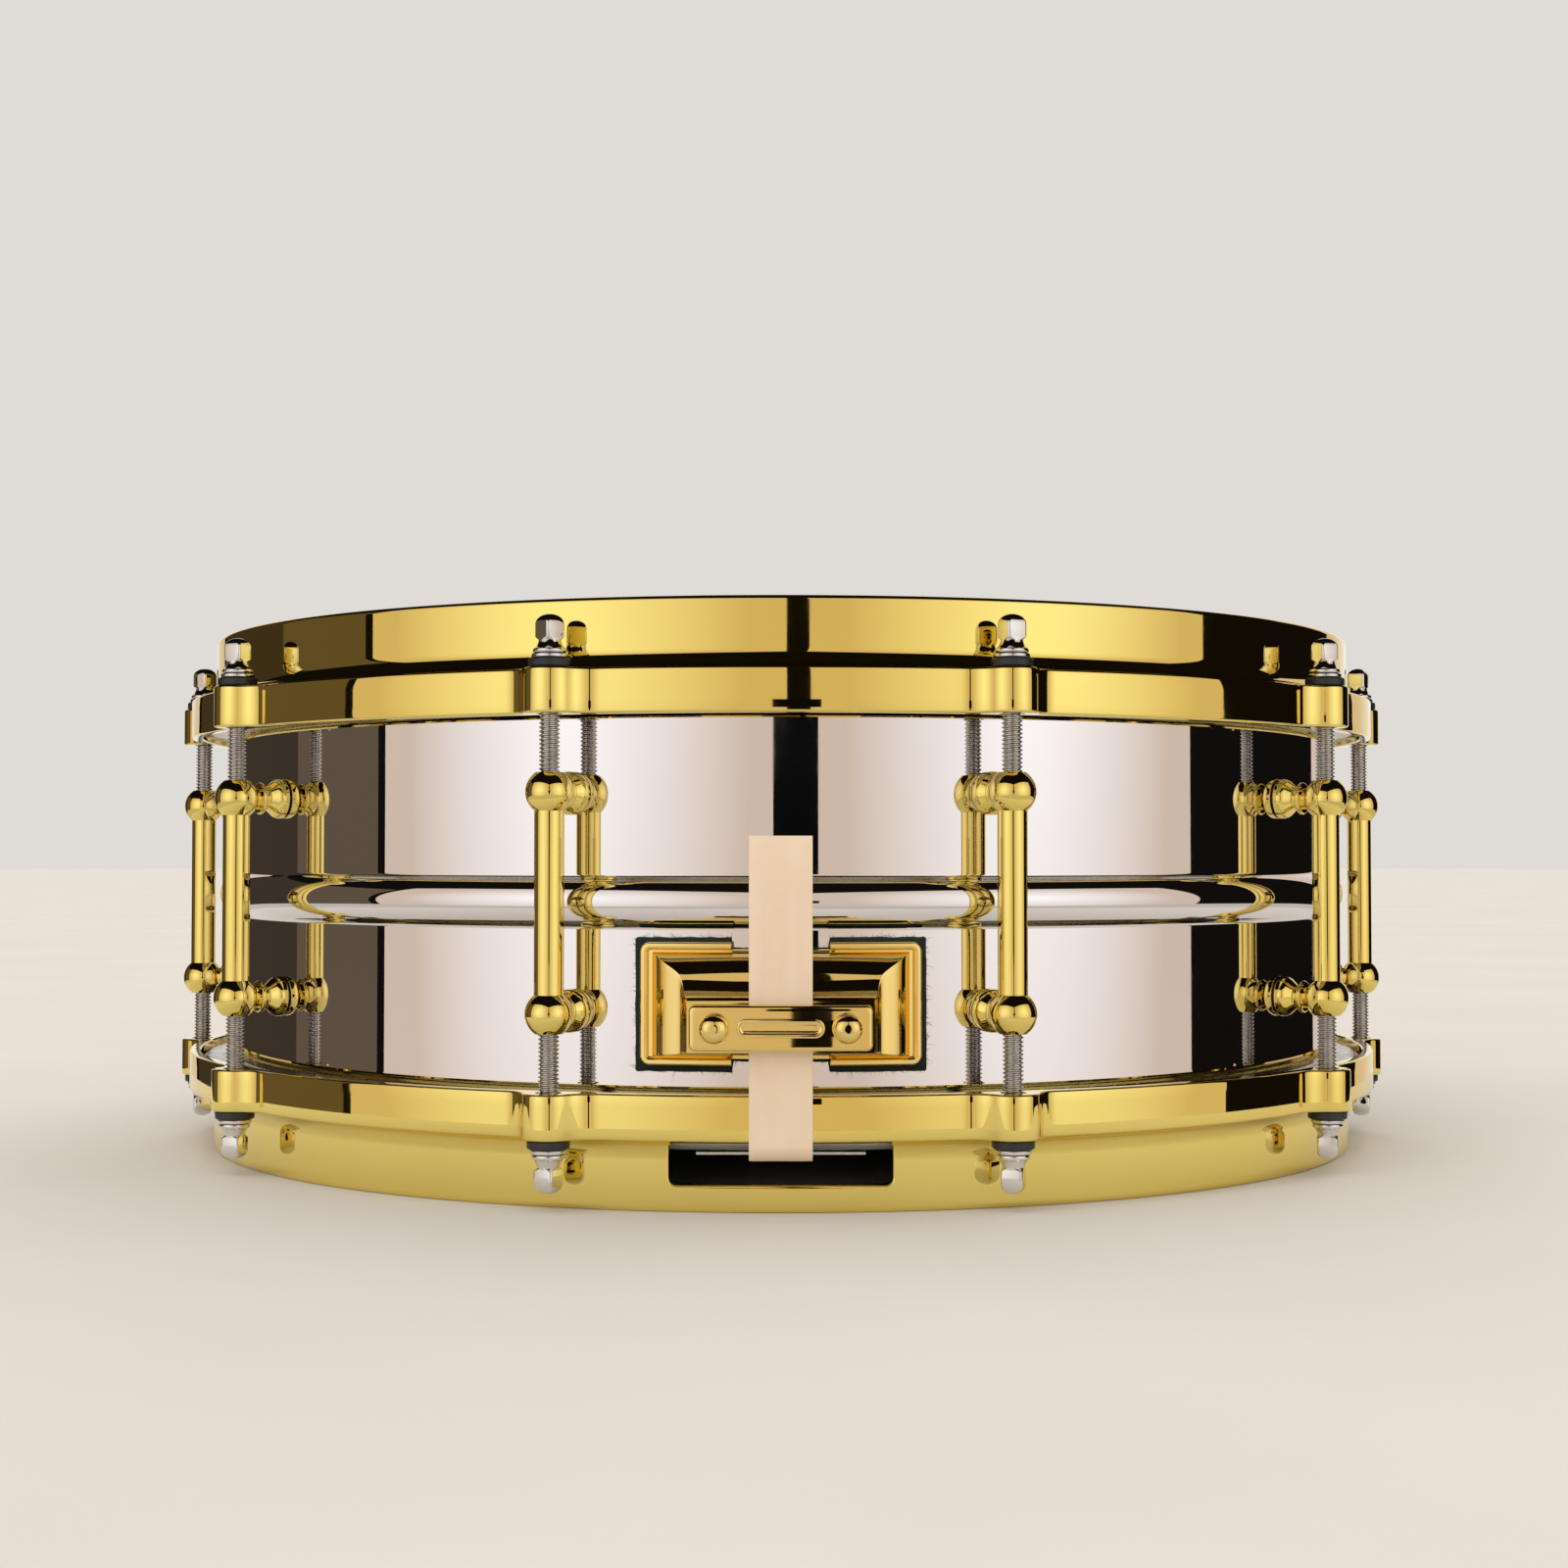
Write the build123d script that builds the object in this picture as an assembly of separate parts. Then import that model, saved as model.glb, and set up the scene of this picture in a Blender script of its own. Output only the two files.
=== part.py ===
from build123d import *

import math
import os

# A 14 x 5 inch metal snare drum with ten tube lugs, die-cast hoops, a butt plate at the front (-Y)
# and a throw-off at the back (+Y). Millimetres, +Z up, the batter head on top.
# Everything is drawn about the shell's middle plane and lifted at the end, so the drum stands on z = 0.
# A radial part is drawn at the front, where "out" is the distance from the drum's axis along -Y.

# ---- Driving dimensions ----
SHELL_R = 177.0  # outside of the shell
SHELL_DEPTH = 127.0  # bearing edge to bearing edge
SHEET = 1.2  # thickness of the shell's metal
EDGE_ROLL = 3.0  # outside radius of the rolled bearing edge
LIP = 4.0  # length of the lip that the roll ends in
BEAD_RISE = 3.5  # how far the middle bead stands out
BEAD_HALF = 7.2  # half the bead's height
BEAD_ROOT = 1.2  # fillet between bead and wall

LUGS = 10  # pairs of tension rods
ROD_CIRCLE = 191.0  # radius that the tension rods stand on
ROD_R = 2.7  # a 12-24 rod over its threads
THREAD_FIT = 0.08  # radial running clearance of a rod in its insert

HOOP_END = 78.7  # middle plane to the outer rim of a hoop
WALL_IN = 178.2  # inside of a hoop's rim wall
WALL_OUT = 182.0  # outside of a hoop's rim wall
SKIRT_IN = 186.0  # inside of a hoop's skirt
SKIRT_OUT = 189.5  # outside of a hoop's skirt
SKIRT_TOP = 60.0  # middle plane to the seat of the rod washers
SKIRT_LOW = 48.2  # middle plane to the skirt's free edge
FLANGE_SEAT = 57.0  # face that presses on the flesh hoop
EAR_OUT = 197.5  # outermost point of an ear
EAR_R = 6.9

FILM_GAP = 0.05  # clearance between a head and the shell
BATTER_FILM = 0.25
SNARE_FILM = 0.15

BALL_Z = 28.25  # middle plane to the centre of a lug's ball
BALL_R = 6.2
TUBE_R = 3.85

STRAP_WIDTH = 16.0
STRAP_T = 0.6
STRAP_OUT = 190.7  # inner face of the snare straps, just clear of the skirt
CLAMP_LONG = 45.9
CLAMP_TALL = 11.5
CLAMP_FRONT = 196.0
CLAMP_SCREW_X = 16.65
BUTT_CLAMP_Z = -30.9
GATE_WIDE = 56.9  # slot in the snare-side hoop that the strap goes through
GATE_FROM = 60.8
GATE_TO = 71.8

LEVER_THROW = 100.0  # degrees from upright to thrown off
CRANK = 3.5  # crank pins' distance from the lever's pivot
CRANK_START = 50.0  # degrees above the radial direction when the lever is upright
PIVOT_OUT = 183.2
PIVOT_Z = -12.0

STRANDS = 20
STRAND_PITCH = 2.1
STRAND_R = 0.95
STRAND_HALF = 150.0
STRAND_Z = -64.95

# ---- Sizes that follow from those ----
HALF_DEPTH = SHELL_DEPTH / 2
STEP = 360 / LUGS
LUG_ANGLES = [STEP * (n + 0.5) for n in range(LUGS)]
CARRIAGE_DROP = 2 * CRANK * math.sin(math.radians(CRANK_START))
STRAP_FACE = STRAP_OUT + STRAP_T

parts = {}


# ---- Helpers ----
def outline(points, radii=0):
    """A closed face through the points, with each corner rounded by its radius."""
    if radii == 0:
        return make_face(Polyline(*points, close=True))
    return make_face(FilletPolyline(*points, radius=radii, close=True))


def lathe(points, radii=0):
    """An outline of (radius, height) points turned round Z."""
    return revolve(Plane.XZ * outline(points, radii), Axis.Z)


def outward(shape, height):
    """Turns a shape drawn along +Z so that +Z points out of the drum's front at this height."""
    return Pos(0, 0, height) * Rot(90, 0, 0) * shape


def rod_along(radius, low, high):
    """A plain cylinder along Z between two heights."""
    return Pos(0, 0, (low + high) / 2) * Cylinder(radius, high - low)


def block(x, out, z, corner=0):
    """A box given as (low, high) across X, out from the axis at the front, and up Z."""
    shape = Pos((x[0] + x[1]) / 2, -(out[0] + out[1]) / 2, (z[0] + z[1]) / 2) * Box(
        x[1] - x[0], out[1] - out[0], z[1] - z[0]
    )
    if corner:
        shape = fillet(shape.edges().filter_by(Axis.Y), corner)
    return shape


def side_plate(points, radii, x):
    """An outline of (out, height) points given a thickness across X."""
    flat = outline([(-out, height) for out, height in points], radii)
    return Pos(x[0], 0, 0) * extrude(Plane.YZ * flat, x[1] - x[0])


def around(shape, angles):
    """Copies of a front part, turned round the drum to these angles."""
    return [Rot(0, 0, angle) * shape for angle in angles]


def both_ends(shapes):
    """The batter-side shapes and the same ones for the snare side."""
    flipped = [Rot(180, 0, 0) * shape for shape in shapes]
    return list(shapes) + flipped


def left_and_right(shape):
    return [shape, mirror(shape, Plane.YZ)]


def to_back(shape):
    return Rot(0, 0, 180) * shape


def ring(inner, outer, low, high):
    return rod_along(outer, low, high) - rod_along(inner, low, high)


# ---- Shell ----
def skin(inset):
    """One face of the shell's bent sheet as edges, this far inside its outer face."""
    wall = SHELL_R - inset
    roll = EDGE_ROLL - inset
    roll_x = SHELL_R - EDGE_ROLL
    roll_z = HALF_DEPTH - EDGE_ROLL
    slant = roll / math.sqrt(2)
    lip = LIP / math.sqrt(2)
    crown = ((BEAD_RISE - BEAD_ROOT) ** 2 + BEAD_HALF**2 - BEAD_ROOT**2) / (2 * BEAD_RISE)
    crown_x = SHELL_R + BEAD_RISE - crown
    root_x = SHELL_R + BEAD_ROOT
    sweep_angle = math.degrees(math.atan2(BEAD_HALF, root_x - crown_x))
    half = [
        Line((roll_x - slant - lip, roll_z + slant - lip), (roll_x - slant, roll_z + slant)),
        CenterArc((roll_x, roll_z), roll, 0, 135),
        Line((wall, roll_z), (wall, BEAD_HALF)),
        CenterArc((root_x, BEAD_HALF), BEAD_ROOT + inset, 180, sweep_angle),
    ]
    bead = CenterArc((crown_x, 0), crown - inset, -sweep_angle, 2 * sweep_angle)
    tip = half[0] @ 0
    return half + [bead] + [mirror(edge, Plane.XZ) for edge in half], (tip.X, tip.Y)


def shell_blank():
    outer, outer_tip = skin(0)
    inner, inner_tip = skin(SHEET)
    ends = [Line((outer_tip[0], s * outer_tip[1]), (inner_tip[0], s * inner_tip[1])) for s in (1, -1)]
    return revolve(Plane.XZ * make_face(outer + inner + ends), Axis.Z)


def shell_core(gap):
    """The space that the shell fills, solid to the axis, with a gap all round it."""
    outer, tip = skin(-gap)
    closing = Polyline((tip[0], tip[1]), (0, tip[1]), (0, -tip[1]), (tip[0], -tip[1]))
    return revolve(Plane.XZ * make_face(outer + [closing]), Axis.Z)


LUG_SCREW_HOLE = 2.6
VENT_ANGLE = 144.0
VENT_Z = 31.0
VENT_HOLE = 6.2
BUTT_SCREW_ANGLE = 6.5
BUTT_SCREW_Z = -27.0
THROW_SCREWS_Z = (-24.0, 12.5)


def shell_hole(radius, angle, height):
    drill = outward(rod_along(radius, SHELL_R - 8, SHELL_R + 8), height)
    return Rot(0, 0, angle) * drill


holes = [shell_hole(LUG_SCREW_HOLE, a, z) for a in LUG_ANGLES for z in (BALL_Z, -BALL_Z)]
holes += [shell_hole(LUG_SCREW_HOLE, s * BUTT_SCREW_ANGLE, BUTT_SCREW_Z) for s in (1, -1)]
holes += [shell_hole(LUG_SCREW_HOLE, 180, z) for z in THROW_SCREWS_Z]
holes.append(shell_hole(VENT_HOLE, VENT_ANGLE, VENT_Z))
parts["shell"] = shell_blank() - holes

BADGE_R = 16.0
BADGE_T = 1.0
badge_disc = outward(rod_along(BADGE_R, SHELL_R - 4, SHELL_R + 4), VENT_Z)
badge_disc -= outward(rod_along(VENT_HOLE, SHELL_R - 4, SHELL_R + 4), VENT_Z)
badge_sheet = ring(SHELL_R, SHELL_R + BADGE_T, VENT_Z - BADGE_R - 2, VENT_Z + BADGE_R + 2)
parts["vent_badge"] = Rot(0, 0, VENT_ANGLE) * (badge_disc & badge_sheet)

EYELET_BORE = 4.5
EYELET_R = 6.0
EYELET_OUT = SHELL_R + BADGE_T + 0.1
eyelet = lathe(
    [
        (EYELET_BORE, 173.6),
        (7.6, 173.6),
        (7.6, 175.4),
        (EYELET_R, 175.4),
        (EYELET_R, EYELET_OUT),
        (8.6, EYELET_OUT),
        (8.6, EYELET_OUT + 1.6),
        (EYELET_BORE, EYELET_OUT + 1.6),
    ],
    [0.8, 0.8, 0, 0, 0, 0, 1.2, 1.2],
)
parts["vent_eyelet"] = Rot(0, 0, VENT_ANGLE) * outward(eyelet, VENT_Z)


# ---- Heads ----
COLLAR_LOW = 51.5  # where the film ends, inside the flesh hoop
FLESH_IN = 177.6
FLESH_OUT = 185.5
FLESH_LOW = 50.2
FLESH_TOP = 56.9


def film(thickness):
    """A head's film: flat across the bearing edge, then down round the shell as a collar."""
    edge = SHELL_R + FILM_GAP
    flat = HALF_DEPTH + FILM_GAP
    bend = EDGE_ROLL + FILM_GAP
    return lathe(
        [
            (0, flat),
            (edge, flat),
            (edge, COLLAR_LOW),
            (edge + thickness, COLLAR_LOW),
            (edge + thickness, flat + thickness),
            (0, flat + thickness),
        ],
        [0, bend, 0, 0, bend + thickness, 0],
    )


flesh_hoop = lathe(
    [(FLESH_IN, FLESH_LOW), (FLESH_OUT, FLESH_LOW), (FLESH_OUT, FLESH_TOP), (FLESH_IN, FLESH_TOP)],
    [1.5, 1.5, 0.8, 0.8],
)
parts["batter_head_film"] = film(BATTER_FILM)
parts["batter_flesh_hoop"] = flesh_hoop
parts["snare_head_film"] = Rot(180, 0, 0) * film(SNARE_FILM)
parts["snare_flesh_hoop"] = Rot(180, 0, 0) * flesh_hoop


# ---- Hoops ----
EAR_BLEND = 8.5  # fillet between an ear and the skirt
EAR_EDGE = 0.7
LEDGE_RISE = 0.2
WALL_FILLET = 5.3
RIM_EDGE = 1.2
EAR_HOLE = 3.4
SPOT_FACE = 5.9  # flat seat cut in the ledge for the rod's washers
LEDGE_END = SKIRT_OUT - 0.9


def hoop():
    """The batter-side hoop: rim wall, ledge, skirt, and an ear round each tension rod."""
    rim = lathe(
        [
            (WALL_IN, FLANGE_SEAT),
            (WALL_IN, HOOP_END),
            (WALL_OUT, HOOP_END),
            (WALL_OUT, SKIRT_TOP + LEDGE_RISE),
            (LEDGE_END, SKIRT_TOP),
            (LEDGE_END, FLANGE_SEAT),
        ],
        [0, RIM_EDGE, RIM_EDGE, WALL_FILLET, 0, 0],
    )
    ear = Pos(0, EAR_R - EAR_OUT) * Rot(0, 0, 90) * Circle(EAR_R)
    plan = Circle(SKIRT_OUT) + around(ear, LUG_ANGLES)
    creases = [v for v in plan.vertices() if abs(math.hypot(v.X, v.Y) - SKIRT_OUT) < 0.01]
    plan = fillet(creases, EAR_BLEND)
    skirt = Pos(0, 0, SKIRT_LOW) * extrude(plan, SKIRT_TOP - SKIRT_LOW)
    faces = skirt.faces().sort_by(Axis.Z)
    skirt = fillet(faces[0].edges() + faces[-1].edges(), EAR_EDGE)
    skirt -= rod_along(SKIRT_IN, SKIRT_LOW - 1, SKIRT_TOP + 1)
    drill = rod_along(EAR_HOLE, SKIRT_LOW - 1, SKIRT_TOP + 1)
    drill += rod_along(SPOT_FACE, SKIRT_TOP, SKIRT_TOP + LEDGE_RISE + WALL_FILLET)
    return rim + skirt - around(Pos(0, -ROD_CIRCLE, 0) * drill, LUG_ANGLES)


GATE_CORNER = 1.8
gate = block(
    (-GATE_WIDE / 2, GATE_WIDE / 2), (WALL_IN - 6, SKIRT_OUT), (GATE_FROM, GATE_TO), GATE_CORNER
)
plain_hoop = hoop()
parts["batter_hoop"] = plain_hoop
parts["snare_hoop"] = Rot(180, 0, 0) * (plain_hoop - around(gate, (0, 180)))


# ---- Lugs ----
SEAT = SHELL_R + 0.3  # foot of a lug's post, on its gasket
POST_R = 5.7
NECK_R = 3.1
INSERT_R = 3.6
INSERT_FIT = 0.05
TUBE_END = BALL_Z - 3.05  # the tube stops here, inside the ball
INSERT_TOP = BALL_Z + 4.7
TAPPED = 2.3
SCREW_R = 2.2
TAP_END = 185.8

post = lathe(
    [
        (0, SEAT),
        (POST_R, SEAT),
        (POST_R, 179.4),
        (NECK_R, 182.2),
        (NECK_R, 183.3),
        (4.6, 183.3),
        (4.6, 184.6),
        (NECK_R, 184.6),
        (NECK_R, 188.0),
        (0, 188.0),
    ],
    [0, 0.3, 2.6, 0.5, 0, 0.6, 0.6, 0, 0, 0],
)
end_ball = outward(post, BALL_Z) + Pos(0, -ROD_CIRCLE, BALL_Z) * Sphere(BALL_R)
end_ball -= outward(rod_along(TAPPED, SEAT - 1, TAP_END), BALL_Z)
end_ball -= Pos(0, -ROD_CIRCLE, 0) * rod_along(TUBE_R + INSERT_FIT, 0, TUBE_END)
end_ball -= Pos(0, -ROD_CIRCLE, 0) * rod_along(INSERT_R + INSERT_FIT, 0, HALF_DEPTH)
parts["lug_end_balls"] = both_ends(around(end_ball, LUG_ANGLES))

tube = ring(ROD_R + 0.35, TUBE_R, -TUBE_END + 0.05, TUBE_END - 0.05)
parts["lug_tubes"] = around(Pos(0, -ROD_CIRCLE, 0) * tube, LUG_ANGLES)

insert = ring(ROD_R + THREAD_FIT, INSERT_R, TUBE_END + 0.05, INSERT_TOP)
parts["lug_inserts"] = both_ends(around(Pos(0, -ROD_CIRCLE, 0) * insert, LUG_ANGLES))

pad = outward(rod_along(POST_R - 0.7, SHELL_R - 3, SEAT), BALL_Z)
pad -= outward(rod_along(LUG_SCREW_HOLE, SHELL_R - 4, SEAT + 1), BALL_Z)
pad -= rod_along(SHELL_R, BALL_Z - 10, BALL_Z + 10)
parts["lug_gaskets"] = both_ends(around(pad, LUG_ANGLES))

WASHER_OUT = 175.6  # washers lie against the inside of the shell
WASHER_T = 0.7
WASHER_R = 5.0
HEAD_R = 3.9


def inside_screw(tip):
    """A mounting screw driven outward from inside the shell, and its washer."""
    under = WASHER_OUT - WASHER_T - 0.05
    screw = lathe(
        [(0, under - 2.6), (HEAD_R, under - 2.6), (HEAD_R, under), (SCREW_R, under), (SCREW_R, tip), (0, tip)],
        [0, 1.4, 0, 0, 0.5, 0],
    )
    cross = [Pos(0, 0, under - 2.6) * Rot(0, 0, a) * Box(0.9, 4.2, 2.4) for a in (0, 90)]
    washer = ring(SCREW_R + 0.2, WASHER_R, WASHER_OUT - WASHER_T, WASHER_OUT)
    return screw - cross, washer


lug_screw, lug_washer = inside_screw(TAP_END - 0.6)
parts["lug_screws"] = both_ends(around(outward(lug_screw, BALL_Z), LUG_ANGLES))
parts["lug_screw_washers"] = both_ends(around(outward(lug_washer, BALL_Z), LUG_ANGLES))


# ---- Tension rods ----
ROD_TIP = 17.5
NYLON_R = 5.5
NYLON_TOP = SKIRT_TOP + 2.4
STEEL_R = 4.7
STEEL_TOP = NYLON_TOP + 1.2
COLLAR_R = 4.35
COLLAR_FOOT = STEEL_TOP + 0.1
COLLAR_TOP = COLLAR_FOOT + 1.2
HEAD_ACROSS = 5.7
HEAD_TOP = 73.7
HEAD_DOME = 2.4
HEAD_CORNER = 0.7


def tension_rod():
    stem = lathe(
        [
            (0, ROD_TIP),
            (ROD_R, ROD_TIP),
            (ROD_R, COLLAR_FOOT),
            (COLLAR_R, COLLAR_FOOT),
            (COLLAR_R, COLLAR_TOP),
            (HEAD_ACROSS / 2 - 0.1, COLLAR_TOP + 2.2),
            (0, COLLAR_TOP + 2.2),
        ],
        [0, 0.8, 0, 0.4, 0.4, 0, 0],
    )
    square = RectangleRounded(HEAD_ACROSS, HEAD_ACROSS, HEAD_CORNER)
    head = Pos(0, 0, COLLAR_TOP - 0.3) * extrude(square, HEAD_TOP - COLLAR_TOP + 0.3)
    head = fillet(head.faces().sort_by(Axis.Z)[-1].edges(), HEAD_DOME)
    return Pos(0, -ROD_CIRCLE, 0) * (stem + head)


rod = tension_rod()
for side, end in (("batter", 0), ("snare", 180)):
    for number, angle in enumerate(LUG_ANGLES, start=1):
        parts[f"tension_rod_{side}_{number:02d}"] = Rot(0, 0, angle) * Rot(0, end, 0) * rod

nylon = ring(ROD_R + 0.3, NYLON_R, SKIRT_TOP, NYLON_TOP)
nylon = fillet(nylon.edges().filter_by(GeomType.CIRCLE).sort_by(SortBy.RADIUS)[-2:], 0.6)
steel = ring(ROD_R + 0.3, STEEL_R, NYLON_TOP, STEEL_TOP)
steel = fillet(steel.edges().filter_by(GeomType.CIRCLE).sort_by(SortBy.RADIUS)[-2:], 0.4)
parts["rod_nylon_washers"] = both_ends(around(Pos(0, -ROD_CIRCLE, 0) * nylon, LUG_ANGLES))
parts["rod_steel_washers"] = both_ends(around(Pos(0, -ROD_CIRCLE, 0) * steel, LUG_ANGLES))


# ---- Strap clamps, the same at the butt and at the throw-off ----
CLAMP_BACK = STRAP_OUT - 0.05
CLAMP_CORNER = 1.6
LOZENGE_LONG = 22.0
LOZENGE_TALL = 4.8
LOZENGE_RISE = 0.5
CLAMP_SCREW_R = 1.9
CLAMP_SCREW_FIT = 0.1
DOME_R = 3.85
DOME_OUT = 199.6


def clamp_bar():
    """A bar across the strap, with a plain raised lozenge in the middle, centred on z = 0."""
    x, z = CLAMP_LONG / 2, CLAMP_TALL / 2
    bar = block((-x, x), (CLAMP_BACK, CLAMP_FRONT), (-z, z), CLAMP_CORNER)
    bar = fillet(bar.faces().sort_by(Axis.Y)[0].edges(), 1.0)
    slot = STRAP_WIDTH / 2 + 0.6
    bar -= block((-slot, slot), (CLAMP_BACK - 1, STRAP_FACE + 0.1), (-z - 1, z + 1))
    lozenge = extrude(RectangleRounded(LOZENGE_LONG, LOZENGE_TALL, LOZENGE_TALL / 2 - 0.1), LOZENGE_RISE + 1)
    bar += outward(Pos(0, 0, CLAMP_FRONT - 1) * lozenge, 0)
    drill = rod_along(CLAMP_SCREW_R + 2 * CLAMP_SCREW_FIT, CLAMP_BACK - 1, CLAMP_FRONT + 1)
    return bar - [Pos(s * CLAMP_SCREW_X, 0, 0) * outward(drill, 0) for s in (1, -1)]


def clamp_screws(tip):
    """Two domed screws through the bar, centred on z = 0."""
    foot = CLAMP_FRONT + 0.05
    screw = lathe(
        [(0, tip), (CLAMP_SCREW_R, tip), (CLAMP_SCREW_R, foot), (DOME_R, foot), (DOME_R, DOME_OUT), (0, DOME_OUT)],
        [0, 0.5, 0, 0.4, 3.0, 0],
    )
    return [Pos(s * CLAMP_SCREW_X, 0, 0) * outward(screw, 0) for s in (1, -1)]


def clamp_drill(x_side, tip):
    drill = rod_along(CLAMP_SCREW_R + CLAMP_SCREW_FIT, tip - 0.5, CLAMP_FRONT)
    return Pos(x_side * CLAMP_SCREW_X, 0, 0) * outward(drill, 0)


# ---- Butt plate ----
FELT_T = 1.5
FELT_X = 37.4
FELT_Z = (-43.3, -9.0)
FELT_NOTCH = 2.7
NOTCH_HALF = 12.5
PLATE_X = 36.1
PLATE_Z = (-41.6, -10.1)
PLATE_NOTCH = 1.8
PLATE_CORNER = 2.5
PLATE_IN = SHELL_R + FELT_T
PLATE_T = 1.2
LIP_WIDE = 1.8
LIP_RISE = 1.5
BUTT_FRONT = STRAP_OUT - 0.1
BUTT_TIP = 182.5


def notched(half_x, z, notch, corner):
    """A rounded rectangle with a shallow notch in the middle of its top and bottom edges."""
    low, high = z
    shape = block((-half_x, half_x), (SHELL_R - 6, SHELL_R + 9), z, corner)
    top = block((-NOTCH_HALF, NOTCH_HALF), (SHELL_R - 7, SHELL_R + 10), (high - notch, high + 1))
    bottom = block((-NOTCH_HALF, NOTCH_HALF), (SHELL_R - 7, SHELL_R + 10), (low - 1, low + notch))
    return shape - [top, bottom]


def butt_section(half_x, z, out):
    """One cross-section of the butt plate's body, square to the radial direction."""
    low, high = z
    points = [(-half_x, -out, low), (half_x, -out, low), (half_x, -out, high), (-half_x, -out, high)]
    return make_face(Polyline(*points, close=True))


def butt_plate():
    """A thin curved flange with a raised lip, and a body that sweeps up to the strap clamp."""
    flange = notched(PLATE_X, PLATE_Z, PLATE_NOTCH, PLATE_CORNER)
    plate = flange & ring(PLATE_IN, PLATE_IN + PLATE_T, -50, 0)
    inner_z = (PLATE_Z[0] + LIP_WIDE, PLATE_Z[1] - LIP_WIDE)
    hollow = block(
        (-PLATE_X + LIP_WIDE, PLATE_X - LIP_WIDE), (SHELL_R - 8, SHELL_R + 12), inner_z, 1.2
    )
    lip = (flange - hollow) & ring(PLATE_IN, PLATE_IN + PLATE_T + LIP_RISE, -50, 0)
    foot = PLATE_IN - 3
    body = loft(
        [
            butt_section(34.4, (-39.9, -11.8), foot),
            butt_section(33.0, (-39.4, -12.6), 180.0),
            butt_section(29.6, (-38.7, -15.3), 183.6),
            butt_section(26.1, (-38.3, -18.0), 184.9),
            butt_section(24.8, (-38.0, -21.2), 186.0),
            butt_section(24.0, (-37.6, -23.6), 188.6),
            butt_section(23.6, (-37.4, -24.4), BUTT_FRONT),
        ],
        ruled=True,
    )
    whole = plate + lip + body - rod_along(PLATE_IN, -60, 10)
    whole -= [Pos(0, 0, BUTT_CLAMP_Z) * clamp_drill(s, BUTT_TIP) for s in (1, -1)]
    tap = outward(rod_along(TAPPED, PLATE_IN - 3, TAP_END), BUTT_SCREW_Z)
    return whole - around(tap, (BUTT_SCREW_ANGLE, -BUTT_SCREW_ANGLE))


felt = notched(FELT_X, FELT_Z, FELT_NOTCH, 0.3) & ring(SHELL_R, PLATE_IN, -50, 0)
parts["butt_felt"] = felt - around(
    outward(rod_along(LUG_SCREW_HOLE, SHELL_R - 2, SHELL_R + 4), BUTT_SCREW_Z),
    (BUTT_SCREW_ANGLE, -BUTT_SCREW_ANGLE),
)
parts["butt_plate"] = butt_plate()
parts["butt_clamp_bar"] = Pos(0, 0, BUTT_CLAMP_Z) * clamp_bar()
parts["butt_clamp_screws"] = [Pos(0, 0, BUTT_CLAMP_Z) * s for s in clamp_screws(BUTT_TIP)]

plate_screw, plate_washer = inside_screw(TAP_END - 0.6)
short_screw, _ = inside_screw(SHELL_R + 3.4)
fixings = [
    (BUTT_SCREW_ANGLE, BUTT_SCREW_Z, plate_screw),
    (-BUTT_SCREW_ANGLE, BUTT_SCREW_Z, plate_screw),
    (180, THROW_SCREWS_Z[0], short_screw),
    (180, THROW_SCREWS_Z[1], short_screw),
]
parts["fitting_screws"] = [Rot(0, 0, a) * outward(s, z) for a, z, s in fixings]
parts["fitting_screw_washers"] = [Rot(0, 0, a) * outward(plate_washer, z) for a, z, _ in fixings]


# ---- Throw-off, drawn at the front and turned to the back ----
PAD_T = 1.0
BASE_IN = SHELL_R + PAD_T
BASE_FRONT = 181.0
BASE_X = 15.5
BASE_Z = (-30.0, 17.0)
CHEEK_X = (11.9, BASE_X)
CHEEK_Z = (-24.0, -3.0)
CHEEK_FRONT = 190.5
BEAD_GAP = 0.3
PIN_R = 1.5
HUB_R = 4.8
ARM_X = (8.6, 11.4)
ARM_TOP = 30.0
ARM_BACK = 181.6
ARM_FRONT = 187.0
CARRIAGE_X = 8.0
CARRIAGE_Z = (-27.0, -1.0)
CARRIAGE_OUT = (181.3, 190.3)
GUIDE_X = 11.6
GUIDE_TOP = -18.0
STEM_OUT = 187.5
STEM_R = 1.8
CRANK_PIN_R = 1.2
JAW_Z = (-40.5, -29.0)
JAW_OUT = (184.6, STRAP_OUT - 0.1)
JAW_TIP = 186.0
THROW_CLAMP_Z = (JAW_Z[0] + JAW_Z[1]) / 2
KNOB_R = 5.9
KNOB_Z = (4.0, 11.0)
KNURLS = 24


def cross_pin(radius, x, out, height):
    """A cylinder across the drum between two X values."""
    return Pos((x[0] + x[1]) / 2, -out, height) * Rot(0, 90, 0) * Cylinder(radius, x[1] - x[0])


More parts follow.
